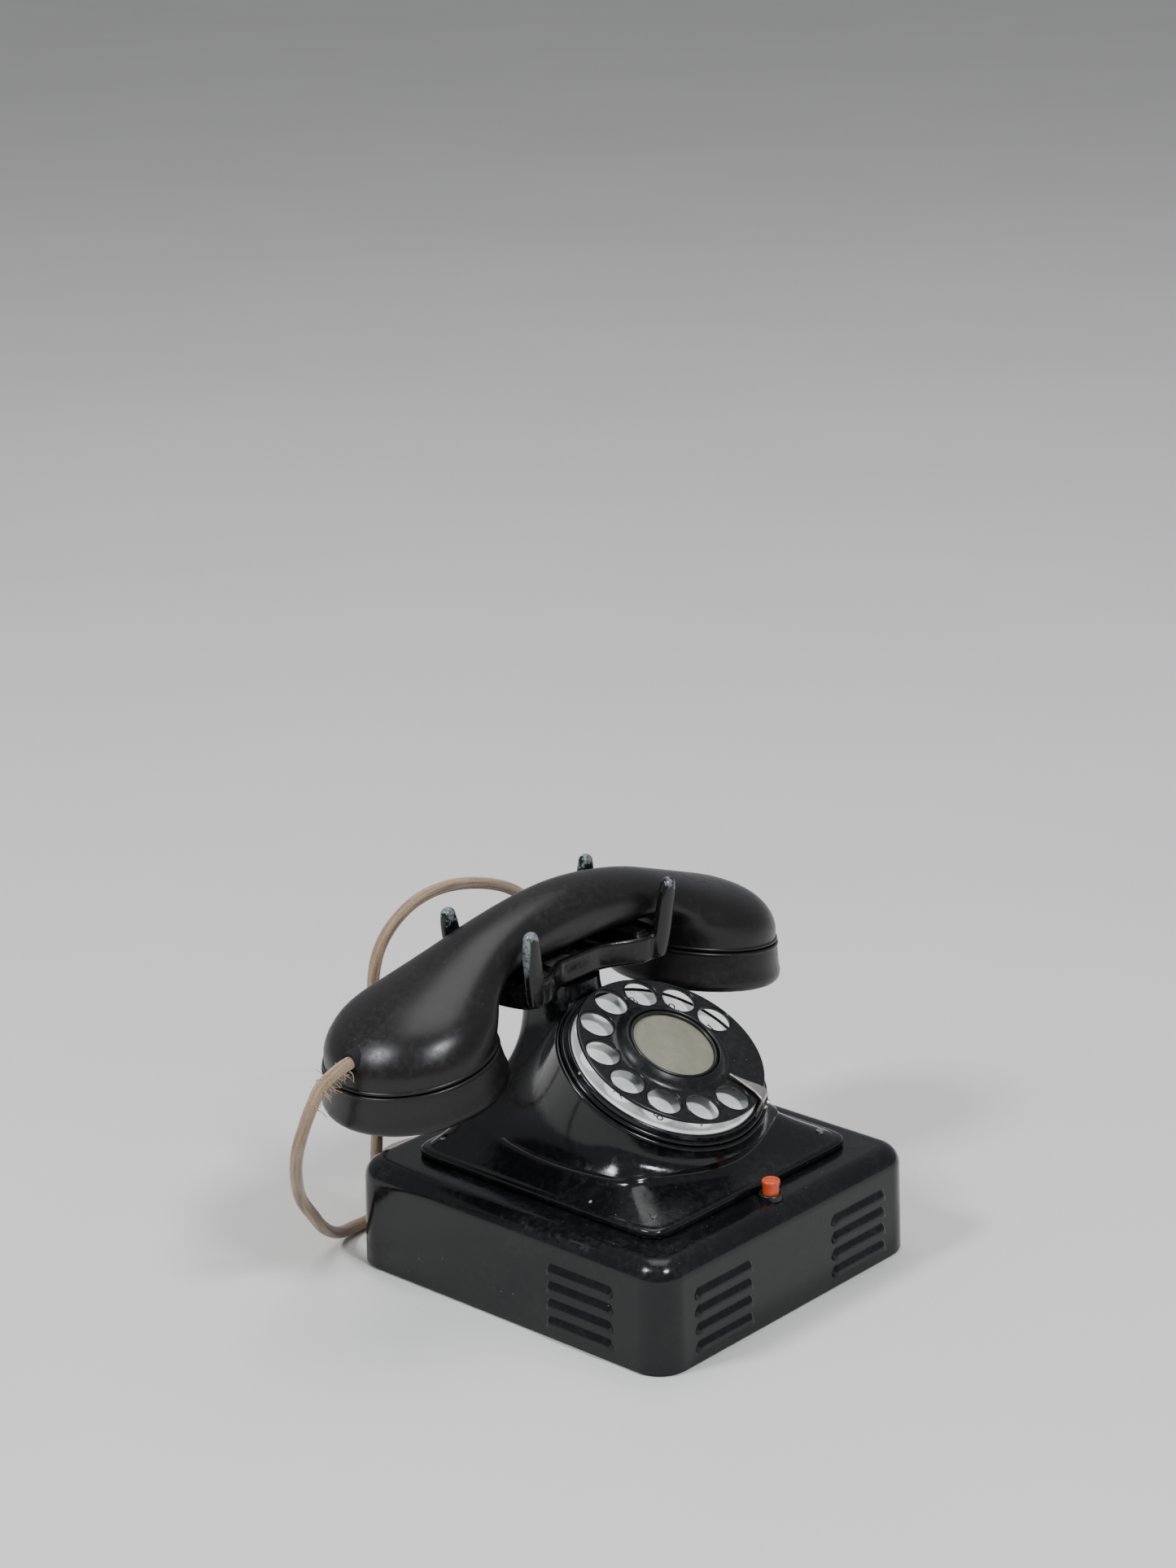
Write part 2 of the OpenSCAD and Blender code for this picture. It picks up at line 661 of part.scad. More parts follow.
module hook_contacts() color("#b59a55") translate([lever_arm, neck_y, 0]) for (i = [0:2])
    translate([-7.5 + 1.8 * i, -3, lever_z - 26]) cube([0.5, 6, 12 + i]);

// ---------------------------------------------------------------- handset

// Stations of the left half, from the foot of the dome to the middle of the handle. Each one gives
// a point on the outer edge, one on the inner edge, the half width, and a power below 1 that squares
// the underside.
cap_face_z = handle_z - 20.2;
handle_top = handle_z + handle_h;
dome_foot = [for (s = [-1, 1]) [-cap_x + s * dome_r * cos(cap_tilt), cap_face_z + s * dome_r * sin(cap_tilt)]];

function outer_at(fx, fz) = [-(cap_x + dome_r * cos(cap_tilt)) * fx, lerp(dome_foot[0][1], handle_top, fz)];
function inner_at(fx, fz) = [dome_foot[1][0] * fx, lerp(dome_foot[1][1], handle_z, fz)];

stations = [
    [outer_at(1, 0), inner_at(1, 0), dome_r, 1],
    [outer_at(0.999, 0.15), inner_at(0.99, 0.2), dome_r - 0.1, 1],
    [outer_at(0.97, 0.28), inner_at(0.978, 0.38), lerp(dome_r, handle_w, 0.06), 0.98],
    [outer_at(0.915, 0.40), inner_at(0.968, 0.54), lerp(dome_r, handle_w, 0.16), 0.95],
    [outer_at(0.835, 0.50), inner_at(0.957, 0.67), lerp(dome_r, handle_w, 0.31), 0.92],
    [outer_at(0.73, 0.59), inner_at(0.94, 0.78), lerp(dome_r, handle_w, 0.48), 0.88],
    [outer_at(0.615, 0.685), inner_at(0.9, 0.88), lerp(dome_r, handle_w, 0.65), 0.84],
    [outer_at(0.505, 0.775), inner_at(0.83, 0.955), lerp(dome_r, handle_w, 0.8), 0.8],
    [outer_at(0.395, 0.86), inner_at(0.69, 0.99), lerp(dome_r, handle_w, 0.9), 0.78],
    [outer_at(0.27, 0.93), inner_at(0.48, 1), lerp(dome_r, handle_w, 0.96), 0.76],
    [outer_at(0.135, 0.98), inner_at(0.24, 1), lerp(dome_r, handle_w, 0.99), 0.75],
    [outer_at(0, 1), inner_at(0, 1), handle_w, 0.75]];

function station_ring(st, side, n) = let (
    mid = (st[0] + st[1]) / 2, arm = (st[0] - st[1]) / 2)
    [for (i = [0:n - 1]) let (
        t = 360 * i / n, c = cos(t), s = sin(t),
        flat = c < 0 ? st[3] : 1,
        u = sign(c) * pow(abs(c), flat), v = sign(s) * pow(abs(s), flat),
        x = mid[0] + arm[0] * u, z = mid[1] + arm[1] * u)
        [-side * x, handset_y + side * st[2] * v, z]];

handset_rings = concat(
    [for (i = [0:len(stations) - 1]) station_ring(stations[i], -1, 36)],
    [for (i = [len(stations) - 2:-1:0]) station_mirror(station_ring(stations[i], -1, 36))]);

function station_mirror(ring_points) = [for (p = ring_points) [-p[0], p[1], p[2]]];

// Places in a cap's own frame: origin at the middle of the cap's thread end, Z into the dome
module at_cap(side) {
    translate([side * cap_x, handset_y, cap_face_z]) rotate([0, side * cap_tilt, 0]) children();
}

bush_z = 10.6;
bush_r = 4;
bush_len = 7.5;
bush_face = -dome_r + 1.6;

module handset_body() color("#1b1a1c") difference() {
    union() {
        skin(handset_rings);
        for (side = [-1, 1]) at_cap(side) disc(dome_r - 2.5, -8, 1);
    }
    for (side = [-1, 1]) at_cap(side) disc(capsule_r + 0.4, -9, 9);
    at_cap(-1) translate([bush_face - 3, 0, bush_z]) rotate([0, 90, 0]) cylinder(h = bush_len + 3.2, r = bush_r);
}

cap_bead = 0.8;

// One cap. holes is a list of [count, circle radius] rings of sound holes.
module cap(holes, hole_radius) difference() {
    rotate_extrude($fn = 96) polygon([
        [0, -cap_h + 3], [27, -cap_h + 3], [29, -cap_h], [cap_r - 2.4, -cap_h], [cap_r - 0.8, -cap_h + 0.5],
        [cap_r, -cap_h + 2], [cap_top_r + 0.6, -2], [cap_top_r, -1.2], [cap_top_r, -0.3],
        [dome_r - 2.45, -0.3], [dome_r - 2.45, -8.5], [0, -8.5]]);
    for (h = holes, i = [0:h[0] - 1]) rotate([0, 0, 360 * i / h[0]]) translate([h[1], 0, 0])
        disc(hole_radius, -cap_h - 1, -8);
}

module transmitter_cap() color("#1b1a1c") at_cap(-1)
    cap([[1, 0], [6, 6], [12, 12], [18, 18]], 1.2);

module receiver_cap() color("#1b1a1c") at_cap(1)
    cap([[1, 0], [6, 5.5]], 1.6);

module capsule() {
    disc(capsule_r, -6.5, 3);
    disc(capsule_r - 7, 3, 6);
    for (x = [-6, 6]) translate([x, 0, 0]) disc(1.6, 6, 7.6);
}

module transmitter_capsule() color("#a5a39a") at_cap(-1) capsule();

module receiver_capsule() color("#a5a39a") at_cap(1) capsule();

module cord_bush() color("#2a2724") at_cap(-1) translate([bush_face, 0, bush_z]) rotate([0, 90, 0])
    difference() {
        cylinder(h = bush_len, r = bush_r);
        translate([0, 0, -1]) cylinder(h = bush_len + 2, r = cord_dia / 2);
    }

// ---------------------------------------------------------------- button

stem_low = ledge_z - 9;

module push_button() color("#d2431f") translate([0, button_y, 0]) difference() {
    union() {
        disc(button_r, stem_low, button_top - 1);
        translate([0, 0, button_top - 2]) cylinder(h = 1.4, r1 = button_r, r2 = button_r + 0.45);
        disc(button_r + 0.45, button_top - 0.6, button_top);
        disc(button_r + 1, stem_low, stem_low + 1);
    }
    disc(button_r - 0.7, button_top - 0.5, button_top + 1);
}

// The flange stays under the case's rounded edge, whose inside drops by less than this
flange_drop = 1.3;

module button_collar() color("#101113") translate([0, button_y, 0]) difference() {
    union() {
        disc(button_r + 0.7, case_top_in - flange_drop - 1.5, ledge_z);
        disc(button_r + 1.2, ledge_z, ledge_z + 2.2);
        disc(button_r + 2.2, case_top_in - flange_drop - 1.5, case_top_in - flange_drop);
    }
    disc(button_r + run_clear, case_top_in - flange_drop - 3, ledge_z + 3);
}

module button_contacts() color("#b59a55") translate([0, button_y, 0]) {
    for (i = [0, 1]) translate([-2.5, -2.5, stem_low - button_travel - 1 - 2 * i]) cube([16, 5, 0.5]);
    translate([9, -2.5, floor_z + floor_t]) cube([4.5, 5, stem_low - button_travel - 3 - floor_z - floor_t]);
}

// ---------------------------------------------------------------- ringer

works_z = floor_z + floor_t;
coil_z = works_z + 13;
coil_x = 11;
coil_r = 8.5;

module ringer_frame() color("#8a8981") difference() {
    union() {
        translate([-24, pivot_y - 36, works_z]) cube([48, 44, 1.5]);
        translate([-22, pivot_y - 36, works_z]) cube([44, 2, 24]);
        translate([-3, pivot_y - 3.5, works_z]) cube([6, 7, 5]);
    }
    translate([0, pivot_y, 0]) disc(pin_r + run_clear, works_z + 1.5, works_z + 6);
}

module ringer_coils() color("#7a3b1e") for (x = [-1, 1])
    translate([x * coil_x, pivot_y - 34, coil_z]) rotate([-90, 0, 0]) {
        cylinder(h = 26, r = coil_r);
        cylinder(h = 29, r = 3);
    }

// A bell with a hollow underside, and the post that holds its crown
gong_h = 11;
gong_low = works_z + 6;

module gong() difference() {
    rotate_extrude() polygon([
        [0, gong_h], [6, gong_h], [12, gong_h - 1], [17, gong_h - 4], [20, gong_h - 8], [gong_r, 0],
        [gong_r - 1.4, 0], [18.6, gong_h - 8.6], [15.8, gong_h - 5], [11.6, gong_h - 2.4], [6, gong_h - 1.4],
        [0, gong_h - 1.4]]);
    disc(2, gong_h - 3, gong_h + 1);
}

module gong_left() color("#b9a568") translate([-gong_x, gong_y, gong_low]) gong();

module gong_right() color("#b9a568") translate([gong_x, gong_y, gong_low]) gong();

module gong_posts() color("#8d8a80") for (x = [-gong_x, gong_x]) translate([x, gong_y, 0]) {
    disc(3, works_z, gong_low + gong_h - 1.4);
    disc(1.95, gong_low + gong_h - 1.4, gong_low + gong_h);
    disc(4, gong_low + gong_h, gong_low + gong_h + 1.5);
}

armature_w = 26;

module clapper() color("#c8c4b4") translate([0, pivot_y, 0]) {
    disc(pin_r, works_z + 2, coil_z + 4);
    translate([-armature_w / 2, -1.2, coil_z - 3]) cube([armature_w, 2.4, 6]);
    translate([-0.8, 0, gong_low + 4]) cube([1.6, gong_y - pivot_y - 2, 1.6]);
    translate([0, gong_y - pivot_y - 1, gong_low + 4.8]) sphere(3);
}

// ---------------------------------------------------------------- other works

module condenser() color("#8f8d84") translate([-62, -34, works_z]) {
    cube([24, 46, 24]);
    for (y = [12, 34]) translate([12, y, 24]) cylinder(h = 3, r = 2);
}

module induction_coil() color("#6b4a2a") translate([50, -32, works_z]) {
    for (y = [0, 40]) translate([-11, y, 0]) cube([22, 2, 22]);
    translate([0, 2, 11]) rotate([-90, 0, 0]) cylinder(h = 38, r = 9);
}

block_w = 52;
block_d = 13;
screw_count = 6;

module terminal_block() color("#3a2a20") translate([-block_w / 2, -58, works_z]) difference() {
    cube([block_w, block_d, 9]);
    for (i = [0:screw_count - 1]) translate([(i + 0.5) * block_w / screw_count, block_d / 2, 0])
        disc(1.3, 2, 10);
}

module terminal_screws() color("#b59a55") for (i = [0:screw_count - 1])
    translate([-block_w / 2 + (i + 0.5) * block_w / screw_count, -58 + block_d / 2, works_z + 9])
        rotate([180, 0, 0]) screw(1.25, 5, 2.8, 1.6);

// ---------------------------------------------------------------- cord

module cord_gland() color("#2a2724") translate([gland_x, base_d / 2, gland_z]) rotate([-90, 0, 0]) difference() {
    union() {
        translate([0, 0, -sheet - 2]) cylinder(h = sheet + 2, r = gland_r - 0.05);
        cylinder(h = 1.6, r = gland_r + 1.4);
        translate([0, 0, 1.6]) cylinder(h = gland_end - 1.6, r1 = gland_r, r2 = cord_dia / 2 + 0.9);
    }
    translate([0, 0, -sheet - 3]) cylinder(h = 20, r = cord_dia / 2);
}

// Point d in front of the bush's face, on its axis
function off_bush(d) = [
    -cap_x + (bush_face - d) * cos(cap_tilt) - bush_z * sin(cap_tilt), handset_y,
    cap_face_z + (bush_face - d) * sin(cap_tilt) + bush_z * cos(cap_tilt)];

back_y = base_d / 2;

// Route of the handset cord, from the bush in the dome to the gland at the back
cord_route = [
    off_bush(-2), off_bush(2), [-121, handset_y, 105.5], [-127, 37.5, 102], [-130, 39, 96], [-130, 44, 86],
    [-127, 52, 72], [-120, 61, 57], [-110, 70, 42], [-97, 78, 28], [-82, back_y + 8, 14],
    [-69, back_y + 14, 5.5], [-56, back_y + 17, 2.9], [-38, back_y + 17, 2.6], [-12, back_y + 16, 2.6],
    [10, back_y + 18, 2.6], [25, back_y + 27, 2.6], [29, back_y + 40, 2.6], [22, back_y + 53, 2.6],
    [6, back_y + 58, 2.6], [-11, back_y + 52, 2.6], [-24, back_y + 39, 3], [-35, back_y + 27, 10],
    [-42, back_y + 19, 26], [-44, back_y + 15, 52], [-44, back_y + 15, 82], [-43, back_y + 15, 106],
    [-36, back_y + 15, 120], [-21, back_y + 15, 129], [-3, back_y + 15, 131], [18, back_y + 15, 127],
    [38, back_y + 15, 118], [54, back_y + 16, 103], [63, back_y + 18, 82], [64, back_y + 21, 58],
    [58, back_y + 23, 34], [47, back_y + 21, 18], [gland_x + 1, back_y + 15, gland_z + 0.5],
    [gland_x, back_y + gland_end + 0.3, gland_z]];

cord_sides = 10;

// Ring of points round the route at p, square to direction t
function cord_ring(p, t) = let (
    u0 = cross(t, abs(t[2]) > 0.9 * norm(t) ? [0, 1, 0] : [0, 0, 1]),
    u = u0 / norm(u0), v = cross(t, u) / norm(t))
    [for (i = [0:cord_sides - 1]) p + cord_dia / 2 * (cos(360 * i / cord_sides) * u + sin(360 * i / cord_sides) * v)];

module handset_cord() color("#9a7f62") {
    path = concat([for (i = [0:len(cord_route) - 2], t = [0, 0.5]) curve_point(cord_route, i, t)],
                  [cord_route[len(cord_route) - 1]]);
    last = len(path) - 1;
    skin([for (i = [0:last]) cord_ring(path[i], path[min(i + 1, last)] - path[max(i - 1, 0)])]);
}

rubber_feet();
bottom_plate();
bottom_screws();
base_case();
upper_case();
upper_case_screws();
dial_bezel();
number_plate();
dial_can();
bearing_plate();
return_spring();
pulse_contacts();
governor_cup();
finger_stop();
finger_stop_screws();
finger_wheel();
wheel_spokes();
wheel_rim();
card_disc();
card_ring();
dial_shaft();
main_gear();
governor();
cradle();
cradle_plunger();
hook_frame();
hook_lever();
hook_contacts();
handset_body();
transmitter_cap();
receiver_cap();
transmitter_capsule();
receiver_capsule();
cord_bush();
push_button();
button_collar();
button_contacts();
ringer_frame();
ringer_coils();
gong_left();
gong_right();
gong_posts();
clapper();
condenser();
induction_coil();
terminal_block();
terminal_screws();
cord_gland();
handset_cord();
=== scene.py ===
import math
import random
from contextlib import contextmanager

import bmesh
import bpy
import numpy as np
from mathutils import Matrix, Vector


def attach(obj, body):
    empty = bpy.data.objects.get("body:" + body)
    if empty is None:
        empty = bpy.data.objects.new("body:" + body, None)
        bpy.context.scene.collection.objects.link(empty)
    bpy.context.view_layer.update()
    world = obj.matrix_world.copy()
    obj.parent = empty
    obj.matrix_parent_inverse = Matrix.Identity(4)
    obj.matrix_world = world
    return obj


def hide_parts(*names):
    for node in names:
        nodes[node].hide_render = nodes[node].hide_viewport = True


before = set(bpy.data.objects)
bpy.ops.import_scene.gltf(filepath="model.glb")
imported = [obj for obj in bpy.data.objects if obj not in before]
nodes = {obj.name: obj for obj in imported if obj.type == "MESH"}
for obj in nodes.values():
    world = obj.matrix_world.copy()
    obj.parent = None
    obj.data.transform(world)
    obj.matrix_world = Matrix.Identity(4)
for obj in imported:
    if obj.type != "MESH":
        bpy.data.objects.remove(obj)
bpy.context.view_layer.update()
MM = 0.001

# ------------------------------------------------------------------ camera

camera_data = bpy.data.cameras.new("camera")
camera_data.sensor_width = 36.0
camera_data.lens = 80.07
camera_data.clip_start = 0.05
camera_data.clip_end = 40
camera = bpy.data.objects.new("camera", camera_data)
bpy.context.scene.collection.objects.link(camera)
CAM_RIGHT = (0.66782381, -0.74406435, -0.01948312)
CAM_UP = (0.24423712, 0.19433475, 0.95004328)
CAM_BACK = (-0.70310709, -0.63922002, 0.31150951)
CAM_PLACE = (-0.92528, -0.82205, 0.59875)
camera.matrix_world = Matrix([
    [CAM_RIGHT[i], CAM_UP[i], CAM_BACK[i], CAM_PLACE[i]] for i in range(3)] + [[0, 0, 0, 1]])
bpy.context.scene.camera = camera

# ------------------------------------------------------------------ sizes, in millimetres, as in the CAD

BASE_W, BASE_D, LEDGE_Z, CORNER_R, EDGE_R, DRAFT, SHEET, FOOT_GAP = 150, 160, 44, 13, 8, 0.8, 1.6, 1
PLINTH_W, PLINTH_D, PLINTH_H = 116, 125, 4
NECK_W, NECK_D, NECK_Y, NECK_Z = 14, 14, 35.5, 108.5
DIAL_Y, DIAL_Z, TILT = -20.5, 90.7, math.radians(28)
WHEEL_R, WHEEL_T, HOLE_CIRCLE, HOLE_R, FIRST_HOLE, STOP_DEG = 38, 1.6, 30, 6.6, 8.5, -63
SEAT, DRUM_R, DRUM_SLACK, PLATE_R = -9.5, 42.4, 0.7, 38
PLATE_TOP = SEAT + 3.9
CRADLE_L, CRADLE_D, WAIST_D, CRADLE_H, PRONG_X, PRONG_H = 42, 20, 12, 10.5, 37.5, 33
CRADLE_Z = NECK_Z + 0.5
HANDLE_Z = CRADLE_Z + CRADLE_H + 2.1
HANDLE_H, HANDLE_W, HANDSET_Y = 24.4, 14.5, NECK_Y + 1
CAP_X, CAP_TILT, CAP_TOP_R, CAP_R, CAP_H, DOME_R = 82, math.radians(9), 33.7, 35.6, 16.4, 32.5
CAP_FACE_Z = HANDLE_Z - 20.2
BUTTON_Y, BUTTON_R, BUTTON_TOP = -69, 3.5, LEDGE_Z + 7.4
CORD_DIA, BUSH_Z, BUSH_FACE, BACK_Y = 4.8, 10.6, -DOME_R + 1.6, BASE_D / 2
GLAND_X, GLAND_Z, GLAND_END = 38, 12, 8.6

IN_DIAL = Matrix.Translation((0, DIAL_Y, DIAL_Z)) @ Matrix.Rotation(TILT, 4, "X")


def in_cap(side):
    """The frame of a cap: its origin in the middle of the dome's foot, its Z along the dome's axis."""
    place = Matrix.Translation((side * CAP_X, HANDSET_Y, CAP_FACE_Z))
    return place @ Matrix.Rotation(side * CAP_TILT, 4, "Y")


def in_bush(out):
    """The frame of the cord's bush, out of the dome's flank by a distance along its Z."""
    place = in_cap(-1) @ Matrix.Translation((BUSH_FACE + out, 0, BUSH_Z))
    return place @ Matrix.Rotation(math.pi / 2, 4, "Y")


def lerp(a, b, t):
    return a + (b - a) * t


def smooth(t):
    t = min(1.0, max(0.0, t))
    return t * t * (3 - 2 * t)


def power(value, exponent):
    """The power of a value's size, with the value's sign."""
    return math.copysign(abs(value) ** exponent, value)


# ------------------------------------------------------------------ materials

def new_material(name, color, rough, metallic=0.0, coat=0.0, coat_rough=0.05, specular=0.5, sheen=0.0):
    material = bpy.data.materials.new(name)
    material.use_nodes = True
    shader = material.node_tree.nodes["Principled BSDF"]
    shader.inputs["Base Color"].default_value = (*color, 1)
    shader.inputs["Roughness"].default_value = rough
    shader.inputs["Metallic"].default_value = metallic
    shader.inputs["Coat Weight"].default_value = coat
    shader.inputs["Coat Roughness"].default_value = coat_rough
    shader.inputs["Specular IOR Level"].default_value = specular
    shader.inputs["Sheen Weight"].default_value = sheen
    return Wires(material)


class Wires:
    """Short calls for adding nodes to one material."""

    def __init__(self, material):
        self.material, self.tree = material, material.node_tree
        self.shader = self.tree.nodes["Principled BSDF"]
        coords = self.tree.nodes.new("ShaderNodeTexCoord")
        self.place, self.uv = coords.outputs["Object"], coords.outputs["UV"]

    def node(self, kind, inputs=(), **settings):
        made = self.tree.nodes.new("ShaderNode" + kind)
        for key, value in settings.items():
            setattr(made, key, value)
        for key, value in dict(inputs).items():
            if isinstance(value, bpy.types.NodeSocket):
                self.tree.links.new(value, made.inputs[key])
            else:
                made.inputs[key].default_value = value
        return made

    def noise(self, scale, detail=3.0, rough=0.55, where=None):
        made = self.node("TexNoise", {"Vector": where or self.place, "Scale": scale, "Detail": detail,
                                      "Roughness": rough})
        return made.outputs["Fac"]

    def ramp(self, value, low, high, to_low=0.0, to_high=1.0):
        made = self.node("MapRange", {"Value": value, "From Min": low, "From Max": high, "To Min": to_low,
                                      "To Max": to_high})
        return made.outputs["Result"]

    def math(self, how, a, b=0.0):
        return self.node("Math", {0: a, 1: b}, operation=how).outputs[0]

    def mix(self, share, a, b):
        made = self.node("Mix", {"Factor": share}, data_type="RGBA")
        for slot, value in ((6, a), (7, b)):
            if isinstance(value, bpy.types.NodeSocket):
                self.tree.links.new(value, made.inputs[slot])
            else:
                made.inputs[slot].default_value = (*value, 1)
        return made.outputs[2]

    def specks(self, scale, size, thin=0.5, seed=0.0):
        """1 in small dots scattered over the surface, 0 elsewhere."""
        shifted = self.node("Mapping", {"Vector": self.place, "Location": (seed, seed, seed)})
        cells = self.node("TexVoronoi", {"Vector": shifted.outputs["Vector"], "Scale": scale})
        dot = self.ramp(cells.outputs["Distance"], size, size * 0.5)
        some = self.node("SeparateColor", {"Color": cells.outputs["Color"]}).outputs[0]
        return self.math("MULTIPLY", dot, self.ramp(some, thin, thin - 0.01))

    def part(self, axis):
        return self.node("SeparateXYZ", {"Vector": self.place}).outputs[axis]

    def color(self, value):
        self.tree.links.new(value, self.shader.inputs["Base Color"])

    def rough(self, value):
        self.tree.links.new(value, self.shader.inputs["Roughness"])

    def bump(self, height, strength, distance):
        made = self.node("Bump", {"Height": height, "Strength": strength, "Distance": distance})
        self.tree.links.new(made.outputs["Normal"], self.shader.inputs["Normal"])


def dusty_black(name, color, dust, rough, dirt, peel, specular, chips=0.0):
    """Black paint or moulding with uneven gloss, settled dust, fine specks and a few chips."""
    w = new_material(name, color, sum(rough) / 2, specular=specular)
    cloud = w.noise(28, 5, 0.6)
    fine = w.noise(420, 4, 0.6)
    smear = w.ramp(w.math("MULTIPLY", cloud, fine), 0.22, 0.40)
    tint = w.mix(w.math("MULTIPLY", smear, dirt), color, dust)
    facing_up = w.node("SeparateXYZ", {"Vector": w.node("NewGeometry").outputs["Normal"]}).outputs[2]
    settled = w.math("MULTIPLY", w.ramp(facing_up, 0.2, 1.0), w.specks(700, 0.20, 0.035))
    lint = w.specks(200, 0.055, 0.07, 3.1)
    spots = w.math("MAXIMUM", w.math("MULTIPLY", settled, 0.30), w.math("MULTIPLY", lint, 0.6))
    tint = w.mix(spots, tint, (0.28, 0.26, 0.24))
    if chips:
        chip = w.specks(130, 0.13, chips, 7.7)
        ragged = w.ramp(w.math("ADD", chip, w.math("MULTIPLY", w.noise(1500, 2), 0.6)), 0.85, 0.95)
        tint = w.mix(ragged, tint, (0.30, 0.27, 0.23))
    w.color(tint)
    w.rough(w.ramp(w.math("ADD", smear, w.math("MULTIPLY", fine, 0.5)), 0.2, 1.3, rough[0], rough[1]))
    w.bump(w.math("ADD", w.noise(150, 2), w.math("MULTIPLY", w.noise(700, 2), 0.35)), peel, 0.0004)
    return w.material


ENAMEL = dusty_black("case_enamel", (0.0035, 0.0038, 0.0045), (0.016, 0.015, 0.014),
                     rough=(0.13, 0.30), dirt=0.4, peel=0.12, specular=0.36, chips=0.035)
BAKELITE = dusty_black("handset_bakelite", (0.0065, 0.0058, 0.0058), (0.016, 0.014, 0.013),
                       rough=(0.30, 0.44), dirt=0.5, peel=0.06, specular=0.38)
WHEEL_PAINT = dusty_black("wheel_enamel", (0.0045, 0.0045, 0.005), (0.014, 0.013, 0.012),
                          rough=(0.26, 0.42), dirt=0.4, peel=0.06, specular=0.36, chips=0.05)


def cradle_material():
    """Black moulding worn to grey on the tips of the prongs and down the left edge of one."""
    w = Wires(dusty_black("cradle_bakelite", (0.005, 0.0046, 0.0046), (0.014, 0.013, 0.012),
                          rough=(0.16, 0.34), dirt=0.4, peel=0.08, specular=0.42))
    before = w.shader.inputs["Base Color"].links[0].from_socket
    height = w.part(2)
    across = w.part(1)
    ragged = w.math("MULTIPLY", w.math("SUBTRACT", w.noise(260, 5, 0.7), 0.5), 0.034)
    tip = w.ramp(w.math("ADD", height, ragged), 0.1385, 0.1405)
    front = w.ramp(across, 0.020, 0.019)
    left_edge = w.ramp(w.part(0), -0.0412, -0.0418)
    strip = w.math("MULTIPLY", w.math("MULTIPLY", front, left_edge),
                   w.ramp(w.math("ADD", height, ragged), 0.116, 0.119))
    worn = w.math("MULTIPLY", w.math("MAXIMUM", tip, strip), w.ramp(w.noise(700, 4), 0.36, 0.50, 0.25, 1.0))
    w.color(w.mix(worn, before, (0.16, 0.19, 0.195)))
    return w.material


CRADLE_BLACK = cradle_material()


def plate_material():
    """White glazed plate, dirtier towards its rim."""
    w = new_material("plate_enamel", (0.80, 0.82, 0.80), 0.16, coat=0.4)
    grime = w.ramp(w.noise(120, 6, 0.65), 0.52, 0.72)
    middle = (0, DIAL_Y * MM, (DIAL_Z - 5) * MM)
    across = w.node("VectorMath", {0: w.place, 1: middle}, operation="SUBTRACT").outputs[0]
    reach = w.node("VectorMath", {0: across}, operation="LENGTH").outputs["Value"]
    rim = w.ramp(reach, 0.0355, 0.0385)
    low = w.ramp(w.part(1), -0.03, -0.056)
    dirt = w.math("MULTIPLY", w.math("MAXIMUM", w.math("MULTIPLY", rim, 0.8), 0.22), grime)
    tint = w.mix(dirt, (0.80, 0.82, 0.80), (0.30, 0.28, 0.22))
    tint = w.mix(w.math("MULTIPLY", w.specks(500, 0.16, 0.12), low), tint, (0.10, 0.09, 0.08))
    w.color(tint)
    w.rough(w.ramp(grime, 0, 1, 0.12, 0.5))
    return w.material


PLATE_WHITE = plate_material()


def card_material():
    """Aged card with blotches and foxing."""
    w = new_material("card_paper", (0.20, 0.19, 0.145), 0.5, coat=0.25, coat_rough=0.25)
    blotch = w.ramp(w.noise(90, 6, 0.7), 0.35, 0.7)
    tint = w.mix(blotch, (0.205, 0.20, 0.150), (0.150, 0.143, 0.104))
    tint = w.mix(w.math("MULTIPLY", w.specks(420, 0.14, 0.16), 0.7), tint, (0.08, 0.075, 0.05))
    w.color(w.mix(w.specks(300, 0.06, 0.05, 2.0), tint, (0.6, 0.6, 0.55)))
    w.bump(w.noise(800, 3), 0.15, 0.0002)
    return w.material


CARD = card_material()


def metal_material(name, color, rough, scratch=0.3):
    """Worked metal with fine streaks along X and cloudy tarnish."""
    w = new_material(name, color, rough, metallic=1.0)
    stretched = w.node("Mapping", {"Vector": w.place, "Scale": (60, 900, 900)}).outputs["Vector"]
    streak = w.noise(1.0, 4, 0.6, stretched)
    cloud = w.noise(160, 4, 0.6)
    w.color(w.mix(w.ramp(cloud, 0.35, 0.7, 0, scratch), color, tuple(c * 0.55 for c in color)))
    w.rough(w.ramp(w.math("ADD", streak, cloud), 0.7, 1.4, rough * 0.8, rough * 1.3))
    w.bump(streak, 0.08, 0.0001)
    return w.material


NICKEL = metal_material("nickel", (0.56, 0.54, 0.50), 0.34)
STEEL = metal_material("steel", (0.42, 0.42, 0.41), 0.38)
BRASS = metal_material("brass", (0.62, 0.46, 0.20), 0.36)


def plain_moulding(name, color, rough, coat=0.0, strength=0.1, scale=700, spread=0.25):
    """Plastic or rubber with a cloudy surface and a fine grain."""
    w = new_material(name, color, rough, coat=coat)
    cloud = w.ramp(w.noise(scale * 0.15, 4, 0.6), 0.35, 0.7)
    w.color(w.mix(w.math("MULTIPLY", cloud, spread), color, tuple(min(1, c * 1.7 + 0.01) for c in color)))
    w.rough(w.ramp(cloud, 0, 1, rough, min(1, rough * 1.35)))
    w.bump(w.noise(scale, 3), strength, 0.0003)
    return w.material


